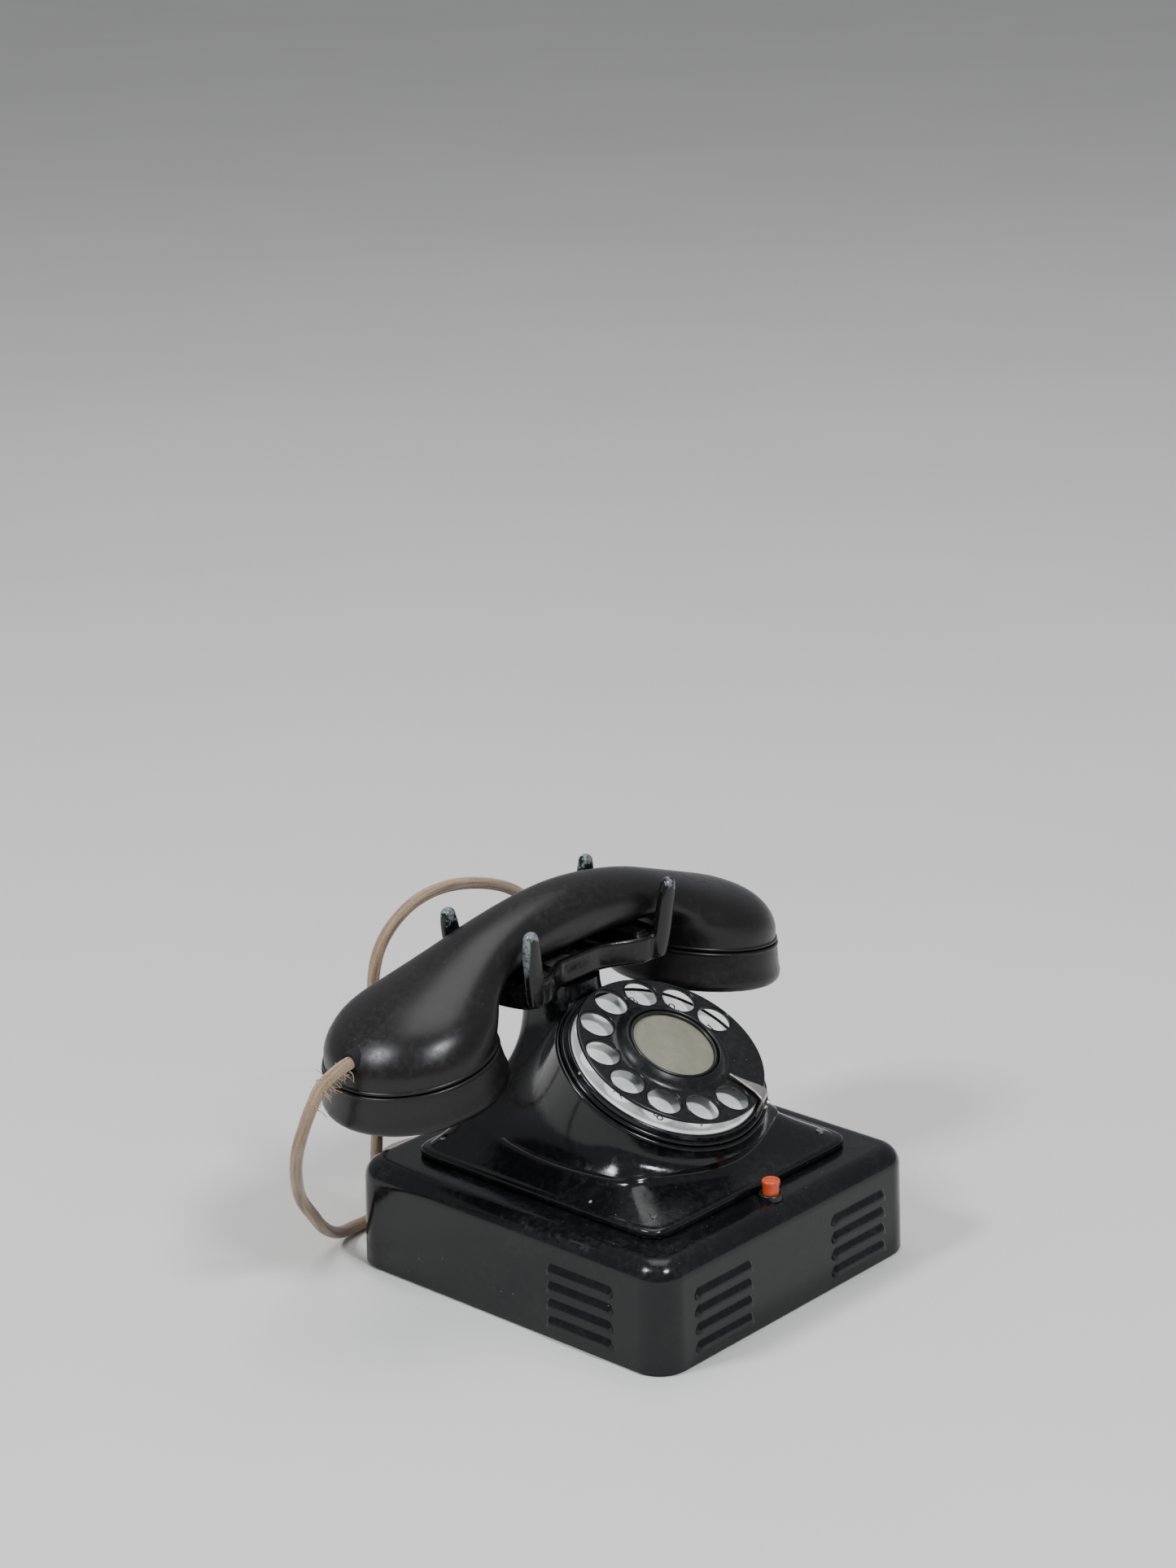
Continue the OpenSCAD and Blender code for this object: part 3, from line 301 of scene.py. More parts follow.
BUTTON_RED = plain_moulding("button_plastic", (0.50, 0.065, 0.016), 0.34, 0.2, 0.05, 500, 0.12)
COLLAR_BLACK = plain_moulding("collar_plastic", (0.005, 0.005, 0.0055), 0.28)
# painted shade: a flat near-black put on louvre slots and hole walls where shade falls; the same black is
# also the real colour of the digits' print, the thread ring and the cord bush
PAINTED_SHADE_AND_BLACK = plain_moulding("painted_shade_and_plain_black", (0.003, 0.003, 0.003), 0.9)
RUBBER = plain_moulding("foot_rubber", (0.03, 0.03, 0.03), 0.8, 0, 0.3)
COIL_WRAP = plain_moulding("coil_wrap", (0.16, 0.055, 0.02), 0.5, 0.2, 0.4, 1500)
GLAND_RUBBER = plain_moulding("gland_rubber", (0.035, 0.03, 0.026), 0.7, 0, 0.3)


def cord_material(name, light, mid, dark, fade):
    """Braided cotton with lengthways stripes, in the cord's own coordinates."""
    w = new_material(name, mid, 0.9, sheen=0.35)
    w.shader.inputs["Sheen Roughness"].default_value = 0.6
    fleck = w.noise(1400, 3, 0.7)
    split = w.node("SeparateXYZ", {"Vector": w.uv}).outputs
    turn = w.math("MULTIPLY", split[0], 2 * math.pi)
    round_cord = w.node("CombineXYZ", {"X": w.math("COSINE", turn), "Y": w.math("SINE", turn),
                                       "Z": w.math("MULTIPLY", split[1], 22)}).outputs[0]
    stripe = w.noise(2.3, 3, 0.6, round_cord)
    worn = w.ramp(w.noise(38, 4, 0.6), 0.42, 0.62, 0, fade)
    tint = w.mix(w.ramp(stripe, 0.42, 0.58), mid, light)
    tint = w.mix(worn, tint, light)
    tint = w.mix(w.math("MULTIPLY", w.ramp(fleck, 0.50, 0.75), 0.6), tint, dark)
    tint = w.mix(w.ramp(stripe, 0.42, 0.32, 0, 0.6), tint, dark)
    w.color(tint)
    w.bump(w.math("ADD", fleck, w.math("MULTIPLY", w.noise(3500, 2), 0.6)), 0.7, 0.0003)
    return w.material


CORD_BRAID = cord_material("cord_braid", (0.33, 0.225, 0.135), (0.185, 0.110, 0.060), (0.075, 0.042, 0.024),
                           0.4)
CORD_YARN = cord_material("cord_yarn", (0.42, 0.30, 0.20), (0.28, 0.18, 0.11), (0.12, 0.065, 0.04), 0.5)

# ------------------------------------------------------------------ mesh helpers

GENTLE = math.radians(38)


@contextmanager
def editing(obj):
    """Opens an object's mesh for editing and writes it back."""
    bm = bmesh.new()
    bm.from_mesh(obj.data)
    yield bm
    bm.to_mesh(obj.data)
    bm.free()


def fix_normals(obj):
    with editing(obj) as bm:
        bmesh.ops.recalc_face_normals(bm, faces=bm.faces)


def clean(obj, distance=0.00001):
    with editing(obj) as bm:
        bmesh.ops.remove_doubles(bm, verts=bm.verts, dist=distance)
        bmesh.ops.dissolve_degenerate(bm, edges=bm.edges, dist=distance)


def merge_into(obj, extra):
    with editing(obj) as bm:
        bm.from_mesh(extra.data)
    bpy.data.objects.remove(extra)


def finish_piece(obj, body, replaced=(), weighted=True, sharp=GENTLE):
    """Shades a piece smooth with its sharp edges kept, puts it under its body's empty and hides the CAD nodes
    that it replaces.
    """
    with editing(obj) as bm:
        bmesh.ops.recalc_face_normals(bm, faces=bm.faces)
        for edge in bm.edges:
            edge.smooth = len(edge.link_faces) != 2 or edge.calc_face_angle(0) < sharp
        for face in bm.faces:
            face.smooth = True
    if weighted:
        modifier = obj.modifiers.new("normals", "WEIGHTED_NORMAL")
        modifier.keep_sharp = True
        modifier.weight = 80
    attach(obj, body)
    if replaced:
        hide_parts(*replaced)
    return obj


def make_object(name, verts, faces, materials, matrix=None, face_slots=None):
    """An object from points in millimetres, moved by a matrix and scaled to metres."""
    mesh = bpy.data.meshes.new(name)
    mesh.from_pydata([tuple(v) for v in verts], [], [tuple(f) for f in faces])
    for material in materials:
        mesh.materials.append(material)
    if face_slots is not None:
        mesh.polygons.foreach_set("material_index", face_slots)
    if matrix is not None:
        mesh.transform(matrix)
    mesh.transform(Matrix.Scale(MM, 4))
    obj = bpy.data.objects.new(name, mesh)
    bpy.context.scene.collection.objects.link(obj)
    return obj


def band_faces(count, around):
    """Quads between successive rings of the same number of points."""
    faces = []
    for j in range(count - 1):
        for i in range(around):
            a = j * around + i
            b = j * around + (i + 1) % around
            faces.append((a, b, b + around, a + around))
    return faces


def skin(rings):
    """A closed surface through rings, with a flat cap on the first and the last."""
    around = len(rings[0])
    last = (len(rings) - 1) * around
    caps = [tuple(range(around - 1, -1, -1)), tuple(last + i for i in range(around))]
    return [p for ring in rings for p in ring], band_faces(len(rings), around) + caps


def lathe(profile, around=96):
    """Turns a profile of (radius, height) about Z, closed where it meets the axis."""
    verts, faces, rows = [], [], []
    for r, z in profile:
        if r < 1e-6:
            rows.append([len(verts)])
            verts.append((0, 0, z))
        else:
            rows.append(list(range(len(verts), len(verts) + around)))
            verts += [(r * math.cos(t), r * math.sin(t), z)
                      for t in (2 * math.pi * i / around for i in range(around))]
    closed = profile[0] != profile[-1] and profile[0][0] > 1e-6 and profile[-1][0] > 1e-6
    pairs = list(zip(rows[:-1], rows[1:]))
    if closed:
        pairs.append((rows[-1], rows[0]))
    for low, high in pairs:
        for i in range(around):
            j = (i + 1) % around
            if len(low) == 1:
                faces.append((low[0], high[j], high[i]))
            elif len(high) == 1:
                faces.append((low[i], low[j], high[0]))
            else:
                faces.append((low[i], low[j], high[j], high[i]))
    return verts, faces


def joined(*parts):
    """One vertex and face list from several, with the material slot of each part's faces."""
    verts, faces, slots = [], [], []
    for part in parts:
        v, f, slot = part if len(part) == 3 else (*part, 0)
        faces += [tuple(i + len(verts) for i in face) for face in f]
        slots += [slot] * len(f)
        verts += list(v)
    return verts, faces, slots


def moved(part, matrix):
    return ([tuple(matrix @ Vector(v)) for v in part[0]], *part[1:])


def arc(cx, cz, r, a0, a1, steps):
    """Points of an arc in the (radius, height) plane, angles in degrees."""
    return [(cx + r * math.cos(math.radians(lerp(a0, a1, k / steps))),
             cz + r * math.sin(math.radians(lerp(a0, a1, k / steps)))) for k in range(steps + 1)]


def catmull(points, per):
    """A smooth curve through points, with per steps to each."""
    pts = np.array(points, float)
    n = len(pts) - 1
    out = []
    for i in range(n):
        a, b, c, d = pts[max(i - 1, 0)], pts[i], pts[i + 1], pts[min(i + 2, n)]
        for t in np.arange(per) / per:
            out.append(0.5 * (2 * b + (c - a) * t + (2 * a - 5 * b + 4 * c - d) * t * t
                              + (3 * b - a - 3 * c + d) * t ** 3))
    out.append(pts[n])
    return np.array(out)


def apply_modifiers(obj):
    """Replaces the object's mesh by what its modifiers make of it."""
    graph = bpy.context.evaluated_depsgraph_get()
    mesh = bpy.data.meshes.new_from_object(obj.evaluated_get(graph))
    obj.modifiers.clear()
    obj.data = mesh


def cut(obj, cutters):
    """Takes the cutters out of obj."""
    for cutter in cutters:
        modifier = obj.modifiers.new("cut", "BOOLEAN")
        modifier.operation = "DIFFERENCE"
        modifier.solver = "MANIFOLD"
        modifier.object = cutter
    bpy.context.view_layer.update()
    apply_modifiers(obj)
    for cutter in cutters:
        bpy.data.objects.remove(cutter)


def plug(r, low, high, around, material, place=None):
    """A cylinder to cut a hole with. The hole's walls take its material."""
    obj = make_object("plug", *lathe([(0, low), (r, low), (r, high), (0, high)], around), [material], place)
    fix_normals(obj)
    return obj


def ring_profile(r, z, half_w, half_h, steps=20):
    """A closed oval cross-section."""
    return [(r + half_w * math.cos(2 * math.pi * k / steps), z + half_h * math.sin(2 * math.pi * k / steps))
            for k in range(steps)]


# ------------------------------------------------------------------ cord

def off_bush(d):
    """The cord's place at a distance outside the bush."""
    c, s = math.cos(CAP_TILT), math.sin(CAP_TILT)
    x = BUSH_FACE - d
    return [-CAP_X + x * c - BUSH_Z * s, HANDSET_Y, CAP_FACE_Z + x * s + BUSH_Z * c]


CORD_ROUTE = [
    off_bush(-2), off_bush(2), [-121, HANDSET_Y, 105.5], [-127, 37.5, 102], [-130, 39, 96], [-130, 44, 86],
    [-127, 52, 72], [-120, 61, 57], [-110, 70, 42], [-97, 78, 28], [-82, BACK_Y + 8, 14],
    [-69, BACK_Y + 14, 5.5], [-56, BACK_Y + 17, 2.9], [-38, BACK_Y + 17, 2.6], [-12, BACK_Y + 16, 2.6],
    [10, BACK_Y + 18, 2.6], [25, BACK_Y + 27, 2.6], [29, BACK_Y + 40, 2.6], [22, BACK_Y + 53, 2.6],
    [6, BACK_Y + 58, 2.6], [-11, BACK_Y + 52, 2.6], [-24, BACK_Y + 39, 3], [-35, BACK_Y + 27, 10],
    [-42, BACK_Y + 19, 26], [-44, BACK_Y + 15, 52], [-44, BACK_Y + 15, 82], [-43, BACK_Y + 15, 106],
    [-36, BACK_Y + 15, 120], [-21, BACK_Y + 15, 129], [-3, BACK_Y + 15, 131], [18, BACK_Y + 15, 127],
    [38, BACK_Y + 15, 118], [54, BACK_Y + 16, 103], [63, BACK_Y + 18, 82], [64, BACK_Y + 21, 58],
    [58, BACK_Y + 23, 34], [47, BACK_Y + 21, 18], [GLAND_X + 1, BACK_Y + 15, GLAND_Z + 0.5],
    [GLAND_X, BACK_Y + GLAND_END + 0.3, GLAND_Z]]


def even_path(points, step):
    """Points a step apart along a fine polyline."""
    gaps = np.linalg.norm(np.diff(points, axis=0), axis=1)
    run = np.concatenate([[0], np.cumsum(gaps)])
    count = max(2, int(round(run[-1] / step)))
    at = np.linspace(0, run[-1], count + 1)
    return np.stack([np.interp(at, run, points[:, k]) for k in range(3)], 1), run[-1]


def swept_frames(path):
    """Two unit vectors square to the path at each point, turning as little as possible."""
    tangents = np.gradient(path, axis=0)
    tangents /= np.linalg.norm(tangents, axis=1)[:, None]
    first = np.cross(tangents[0], [0, 0, 1.0])
    u = first / np.linalg.norm(first)
    us = []
    for t in tangents:
        u = u - t * (u @ t)
        u /= np.linalg.norm(u)
        us.append(u)
    us = np.array(us)
    return us, np.cross(tangents, us)


CORD_STEP = 0.62
CORD_AROUND = 32
YARNS = 8
BRAID_PITCH = 15.0
RIDGE = 0.22


def braided_cord():
    """The cord's surface, where yarns that turn left and right cross over each other."""
    path, length = even_path(catmull(CORD_ROUTE, 24), CORD_STEP)
    us, vs = swept_frames(path)
    n = len(path)
    angle = np.arange(CORD_AROUND) * 2 * math.pi / CORD_AROUND
    along = np.arange(n) * length / (n - 1)
    turn = 2 * math.pi / BRAID_PITCH
    a = YARNS / 2 * (angle[None, :] + along[:, None] * turn)
    b = YARNS / 2 * (angle[None, :] - along[:, None] * turn)
    ridge = np.where(np.sin(a + b) > 0, np.abs(np.cos(a)), np.abs(np.cos(b)))
    rng = np.random.default_rng(7)
    lumps = np.interp(along, np.arange(0, length + 6, 6), rng.uniform(-1, 1, int(length / 6) + 2))
    fuzz = rng.uniform(-0.03, 0.03, a.shape)
    radius = CORD_DIA / 2 - 0.16 + RIDGE * ridge ** 0.7 + 0.05 * lumps[:, None] + fuzz
    radius[0], radius[-1] = CORD_DIA / 2 - 0.2, CORD_DIA / 2 - 0.2
    points = (path[:, None, :] + radius[:, :, None] * (np.cos(angle)[None, :, None] * us[:, None, :]
                                                      + np.sin(angle)[None, :, None] * vs[:, None, :]))
    points[:, :, 2] = np.maximum(points[:, :, 2], 0.12)
    verts, faces = skin(points.tolist())
    obj = make_object("handset_cord_braid", verts, faces, [CORD_BRAID])
    layer = obj.data.uv_layers.new(name="cord")
    data = np.zeros((len(obj.data.loops), 2), np.float32)
    index = np.zeros(len(obj.data.loops), np.int64)
    obj.data.loops.foreach_get("vertex_index", index)
    data[:, 0] = (index % CORD_AROUND) / CORD_AROUND
    data[:, 1] = (index // CORD_AROUND) * CORD_STEP * MM
    layer.data.foreach_set("uv", data.ravel())
    finish_piece(obj, "handset", ["handset_cord"], weighted=False, sharp=math.pi)
    return obj, path, length


cord, cord_path, cord_length = braided_cord()


def strand(points, r0, r1, sides=5):
    """A tapering yarn along a few points."""
    path = catmull(points, 5)
    us, vs = swept_frames(path)
    n = len(path)
    rings = []
    for k in range(n):
        r = lerp(r0, r1, k / (n - 1))
        rings.append([path[k] + r * (math.cos(2 * math.pi * i / sides) * us[k]
                                     + math.sin(2 * math.pi * i / sides) * vs[k]) for i in range(sides)])
    return skin(rings)


def frayed_yarns():
    """Loose yarns that hang from the cord's braid just outside the dome."""
    rng = random.Random(11)
    parts = []
    for k in range(120):
        # most of them spring from the underside, a few from the top
        i = int(rng.uniform(6, 30) if k < 84 else rng.uniform(4, 44))
        side = rng.gauss(0, 0.8)
        down = Vector((0, 0, -1)) if k % 9 else Vector((0, 0, 1))
        centre = Vector(cord_path[i])
        tangent = Vector(cord_path[i + 1] - cord_path[i]).normalized()
        out = (down - tangent * down.dot(tangent)).normalized()
        across = tangent.cross(out)
        root_dir = (out * math.cos(side) + across * math.sin(side)).normalized()
        start = centre + root_dir * (CORD_DIA / 2 - 0.25)
        length = rng.uniform(1.2, 5.2) if k % 9 else rng.uniform(0.8, 2.2)
        bend = Vector((rng.uniform(-0.2, 1.1), rng.uniform(-0.8, 0.8), rng.uniform(-1.3, 0.3)))
        mid = start + (root_dir + bend * 0.3).normalized() * length * 0.5
        end = mid + (root_dir * 0.5 + bend).normalized() * length * 0.55
        r = rng.uniform(0.10, 0.22)
        parts.append(strand([start, mid, end], r, r * 0.45))
    verts, faces, _ = joined(*parts)
    obj = make_object("handset_cord_fray", verts, faces, [CORD_YARN])
    return finish_piece(obj, "handset", weighted=False, sharp=math.pi)


fray = frayed_yarns()


def gland():
    """A flanged rubber sleeve on the back wall, with ribs that get smaller towards the cord."""
    r, end = 4.5, GLAND_END
    hole = CORD_DIA / 2 + 0.02
    profile = [(hole, -3.6), (r - 0.05, -3.6), (r - 0.05, 0.0), (r + 1.0, 0.0), (r + 1.4, 0.4)]
    profile += [(r + 1.4, 1.2), (r + 1.0, 1.6), (r + 0.1, 1.8)]
    for k in range(6):  # ribs of the tapering sleeve
        z = lerp(1.9, end - 0.4, k / 6)
        out = lerp(r, CORD_DIA / 2 + 0.9, (z - 1.6) / (end - 1.6))
        profile += [(out, z), (out, z + 0.55), (out - 0.3, z + 0.7), (out - 0.3, z + 0.95)]
    profile += [(CORD_DIA / 2 + 0.9, end - 0.3), (CORD_DIA / 2 + 0.7, end), (hole, end)]
    place = Matrix.Translation((GLAND_X, BACK_Y, GLAND_Z)) @ Matrix.Rotation(math.radians(-90), 4, "X")
    obj = make_object("cord_gland_sleeve", *lathe(profile, 48), [GLAND_RUBBER], place)
    return finish_piece(obj, "base", ["cord_gland"])


gland_piece = gland()

# ------------------------------------------------------------------ base case

def rounded_outline(half_w, half_d, r, per_corner=12):
    """Points of a rounded rectangle, anticlockwise from the right side's front end."""
    out = []
    for cx, cy, a0 in ((1, -1, -90), (1, 1, 0), (-1, 1, 90), (-1, -1, 180)):
        for k in range(per_corner + 1):
            t = math.radians(a0 + 90 * k / per_corner)
            out.append((cx * (half_w - r) + r * math.cos(t), cy * (half_d - r) + r * math.sin(t)))
    return out


def base_ring(inset, z):
    r = max(0.6, CORNER_R - inset)
    return [(x, y, z) for x, y in rounded_outline(BASE_W / 2 - inset, BASE_D / 2 - inset, r)]


def wall_lean(z):
    return DRAFT * min(1.0, max(0.0, (z - FOOT_GAP) / (LEDGE_Z - EDGE_R - FOOT_GAP)))


def base_shell():
    """The case's sheet, from inside its lower edge up the wall, over the top and back down inside."""
    foot = [(SHEET, 12), (SHEET, 0.3), (SHEET - 0.3, 0), (0.35, 0), (0.1, 0.12), (0, 0.4)]
    rings = [base_ring(inset, FOOT_GAP + up) for inset, up in foot]
    rings += [base_ring(wall_lean(z), z) for z in np.linspace(4, LEDGE_Z - EDGE_R, 5)]
    for a in range(6, 91, 6):
        t = math.radians(a)
        rings.append(base_ring(DRAFT + EDGE_R * (1 - math.cos(t)), LEDGE_Z - EDGE_R + EDGE_R * math.sin(t)))
    opening = [(x, y, LEDGE_Z) for x, y in rounded_outline(PLINTH_W / 2 - 6, PLINTH_D / 2 - 6, 6)]
    rings += [opening, [(x, y, LEDGE_Z - SHEET) for x, y, _ in opening]]
    rings.append(base_ring(DRAFT + EDGE_R, LEDGE_Z - SHEET))
    for a in range(75, -1, -15):
        t = math.radians(a)
        r = EDGE_R - SHEET
        rings.append(base_ring(SHEET + DRAFT + r * (1 - math.cos(t)), LEDGE_Z - EDGE_R + r * math.sin(t)))
    around = len(rings[0])
    verts = [p for ring in rings for p in ring]
    faces = band_faces(len(rings), around)
    last = (len(rings) - 1) * around
    faces += [(last + i, last + (i + 1) % around, (i + 1) % around, i) for i in range(around)]
    return verts, faces


LOUVRE_LEN, LOUVRE_PITCH, LOUVRE_OUT, LOUVRE_Z, LOUVRE_H, LOUVRE_COUNT = 33, 7, 1.4, 5.5, 4.7, 4
LOUVRE_GROUPS = [(-40, -80, 0), (40, -80, 0), (0, 80, 180), (-75, -39, -90), (75, -39, 90)]


def louvre():
    """A pressed louvre on a wall that faces -Y: a bulge with rounded ends and a lower edge of painted shade.
    """
    section = [(0.0, 1.02), (0.06, 0.93), (0.22, 0.80), (0.45, 0.66), (0.68, 0.52), (0.86, 0.37)]
    section += [(0.97, 0.22), (1.0, 0.10), (0.97, 0.03), (0.86, 0.0)]
    steps = 40
    rows = []
    for k in range(steps + 1):
        s = -1 + 2 * k / steps
        x = s * LOUVRE_LEN / 2
        edge = max(0.0, 1 - abs(s))
        swell = min(1.0, edge / 0.13)
        swell = math.sqrt(max(0.0, 1 - (1 - swell) ** 2))
        rise = 0.55 + 0.45 * swell
        rows.append([(x, -(LOUVRE_OUT * out * swell - 0.02 - 0.5 * (1 - swell)), LOUVRE_H * up * rise)
                     for out, up in section])
    around = len(section)
    verts = [p for row in rows for p in row]
    faces = [(j * around + i, j * around + i + 1, (j + 1) * around + i + 1, (j + 1) * around + i)
             for j in range(steps) for i in range(around - 1)]
    # the slot behind the lip and a closed back inside the sheet, coloured as painted shade
    first = len(verts)
    for row in rows:
        x, y, z = row[-1]
        verts += [(x, min(0.5, y + 0.32), z + 0.22), (x, 0.75, z + 0.3), (x, 0.75, LOUVRE_H * 1.02)]
    dark = []
    for j in range(steps):
        a, b = j * around + around - 1, (j + 1) * around + around - 1
        c, d = first + 3 * j, first + 3 * (j + 1)
        dark += [(a, c, d, b), (c, c + 1, d + 1, d), (c + 1, c + 2, d + 2, d + 1),
                 (c + 2, j * around, (j + 1) * around, d + 2)]
    ends = [tuple(range(around)) + (first + 2, first + 1, first),
            tuple(steps * around + i for i in range(around - 1, -1, -1))
            + (first + 3 * steps, first + 3 * steps + 1, first + 3 * steps + 2)]
    return verts, faces, dark + ends


def base_piece():
    verts, faces, slots = joined(base_shell())
    bulge, bright, dark = louvre()
    lean = math.atan2(DRAFT, LEDGE_Z - EDGE_R - FOOT_GAP)
    for x, y, turn in LOUVRE_GROUPS:
        for k in range(LOUVRE_COUNT):
            z = LOUVRE_Z + k * LOUVRE_PITCH
            place = (Matrix.Translation((x, y, z)) @ Matrix.Rotation(math.radians(turn), 4, "Z")
                     @ Matrix.Translation((0, wall_lean(z), 0)) @ Matrix.Rotation(-lean, 4, "X"))
            first = len(verts)
            verts += [tuple(place @ Vector(v)) for v in bulge]
            faces += [tuple(first + i for i in face) for face in bright + dark]
            # the slot faces take slot 1, the painted shade black
            slots += [0] * len(bright) + [1] * len(dark)
    obj = make_object("base_case_shell", verts, faces, [ENAMEL, PAINTED_SHADE_AND_BLACK], face_slots=slots)
    finish_piece(obj, "base", ["base_case"])


base_piece()

# ------------------------------------------------------------------ upper case

BAND_TOP = LEDGE_Z + PLINTH_H
DRUM_BACK = 20.7      # the sections' pole stays inside the drum up to here
DRUM_LEAVES = 102.2   # above this level only the neck is left behind the dial


def flare(z):
    """Half width, half depth, middle and squareness of the flare's level section."""
    t = max(0.0, min(1.0, (z - BAND_TOP) / (NECK_Z - BAND_TOP)))
    s = 1 - t
    return (lerp(NECK_W, PLINTH_W / 2 - 2.5, s ** 2.6), lerp(NECK_D, PLINTH_D / 2 - 2.5, s ** 2.4),
            lerp(NECK_Y, 0, s ** 1.7), lerp(2.6, 16, s ** 2.2),
            NECK_Y - 11 if z > DRUM_LEAVES else lerp(0, DRUM_BACK, min(1, 1.6 * t)))


def flare_reach(c, s, a, b, yc, n, pole):
    """How far a squared oval reaches from the pole in one direction."""
    low, high = 0.0, 110.0
    for _ in range(22):
        m = (low + high) / 2
        inside = (abs(m * c) / a) ** n + (abs(pole + m * s - yc) / b) ** n < 1
        low, high = (m, high) if inside else (low, m)
    return (low + high) / 2


def drum_reach(c, s, z, pole):
    """How far the dial's drum reaches from the pole in one direction at a height."""
    if z > DRUM_LEAVES:
        return 0.0
    b = DRUM_R / math.cos(TILT)
    p = pole - (DIAL_Y + (DIAL_Z - z) * math.tan(TILT))
    qa, qb, qc = c * c / DRUM_R ** 2 + s * s / b ** 2, p * s / b ** 2, p * p / b ** 2 - 1
    q = qb * qb - qa * qc
    return 0.0 if q <= 0 else max(0.0, (-qb + math.sqrt(q)) / qa)


def section_directions(count=176, crowding=8):
    """Directions round a section, crowded towards its corners."""
    for i in range(count):
        t = 360 * i / count
        t = math.radians(t + crowding * math.sin(math.radians(4 * t)))
        yield math.cos(t), math.sin(t)


def section(z):
    """A level section of the flare and the drum, blended into each other."""
    *flare_shape, pole = flare(z)
    blend = lerp(16, 5, min(1, (z - BAND_TOP) / (NECK_Z - BAND_TOP) / 0.15))
    out = []
    for c, s in section_directions():
        f, g = flare_reach(c, s, *flare_shape, pole), drum_reach(c, s, z, pole)
        r = (f ** blend + g ** blend) ** (1 / blend)
        out.append((r * c, pole + r * s, z))
    return out


def band(z, out, n=16):
    """A level section of the plinth's lip, that far out from the plinth's side."""
    ring = []
    for c, s in section_directions():
        r = flare_reach(c, s, PLINTH_W / 2 - 2.5 + out, PLINTH_D / 2 - 2.5 + out, 0, n, 0)
        ring.append((r * c, r * s, z))
    return ring


def upper_case_piece():
    # the plinth's rolled lip: a shadow gap under it, a rounded edge over it
    low_lip = [(0.02, 1.2), (0.35, 1.25), (0.5, 2.1), (0.75, 2.42), (1.2, 2.5)]
    high_lip = [(1.5, 2.48), (0.9, 2.3), (0.45, 1.85), (0.2, 1.2), (0.08, 0.5)]
    rings = [band(LEDGE_Z + up, out) for up, out in low_lip]
    rings += [band(BAND_TOP - down, out) for down, out in high_lip]
    levels = [BAND_TOP + (NECK_Z - BAND_TOP) * (k / 72) ** 1.25 for k in range(73)]
    rings += [section(z) for z in levels]
    obj = make_object("upper_case_shell", *skin(rings), [ENAMEL, PAINTED_SHADE_AND_BLACK])
    fix_normals(obj)
    # the hole under the plate, the plunger's hole and the four screw holes get walls of painted shade
    cutters = [plug(DRUM_R + DRUM_SLACK, SEAT, SEAT + 80, 144, ENAMEL, IN_DIAL),
               plug(35.3, SEAT - 18, SEAT + 1, 96, PAINTED_SHADE_AND_BLACK, IN_DIAL),
               plug(4.06, NECK_Z - 12, NECK_Z + 1, 48, PAINTED_SHADE_AND_BLACK, Matrix.Translation((0, NECK_Y, 0)))]
    for sx in (-1, 1):
        for sy in (-1, 1):
            place = Matrix.Translation((sx * (PLINTH_W / 2 - 9), sy * (PLINTH_D / 2 - 9), 0))
            cutters.append(plug(1.5, LEDGE_Z - 1, LEDGE_Z + 9, 32, PAINTED_SHADE_AND_BLACK, place))
    cut(obj, cutters)
    clean(obj)
    finish_piece(obj, "base", ["upper_case"])


upper_case_piece()


# ------------------------------------------------------------------ dial

def in_hole(i):
    """The place of a finger hole in the dial's frame."""
    a = math.radians(FIRST_HOLE + 30 * i)
    return Matrix.Translation((HOLE_CIRCLE * math.cos(a), HOLE_CIRCLE * math.sin(a), 0))


def bezel_piece():
    """The drum's lip, and inside it two stepped rings round the number plate."""
    inner = 33.5
    lip = lathe(ring_profile(DRUM_R - 0.2, SEAT - 0.35, 0.95, 0.95), 160)
    profile = [(inner, SEAT), (41.0, SEAT)] + arc(40.55, SEAT + 1.15, 0.9, -60, 90, 8) + [(39.95, SEAT + 1.9)]
    profile += arc(38.95, PLATE_TOP - 0.55, 0.72, 0, 165, 8)
    profile += [(38.15, PLATE_TOP - 1.0), (inner, PLATE_TOP - 1.0)]
    verts, faces, _ = joined(lip, lathe(profile, 160))
    obj = make_object("dial_bezel_rings", verts, faces, [ENAMEL], IN_DIAL)
    finish_piece(obj, "base", ["dial_bezel"])


bezel_piece()


def digit_strokes():
    """Outlines of plain digits as lists of strokes in a 1 by 1.5 box centred on the origin."""
    def bow(cx, cy, rx, ry, a0, a1, n=14):
        return [(cx + rx * math.cos(math.radians(lerp(a0, a1, k / n))),
                 cy + ry * math.sin(math.radians(lerp(a0, a1, k / n)))) for k in range(n + 1)]
    return {
        1: [[(-0.2, 0.5), (0.05, 0.75), (0.05, -0.75)]],
        2: [bow(0, 0.35, 0.42, 0.4, 165, -35) + [(-0.45, -0.75), (0.48, -0.75)]],
        3: [bow(0, 0.37, 0.38, 0.37, 150, -80), bow(0, -0.35, 0.43, 0.4, 80, -150)],
        4: [[(0.2, -0.75), (0.2, 0.75), (-0.5, -0.25), (0.5, -0.25)]],
        5: [[(0.4, 0.75), (-0.3, 0.75), (-0.36, 0.1)] + bow(0, -0.28, 0.45, 0.46, 130, -150)],
        6: [[(0.3, 0.72), (-0.2, 0.25)] + bow(0, -0.32, 0.43, 0.43, 150, -210)],
        7: [[(-0.45, 0.75), (0.45, 0.75), (-0.1, -0.75)]],
        8: [bow(0, 0.38, 0.34, 0.36, -90, 270), bow(0, -0.36, 0.43, 0.4, 90, 450)],
        9: [bow(0, 0.32, 0.43, 0.43, -30, 330) + [(0.2, -0.25), (-0.3, -0.72)]],
        0: [bow(0, 0, 0.42, 0.75, 90, 450)],
    }


DIGIT_SIZE, DIGIT_STROKE, DIGIT_CIRCLE = 2.7, 0.52, HOLE_CIRCLE + 2.2


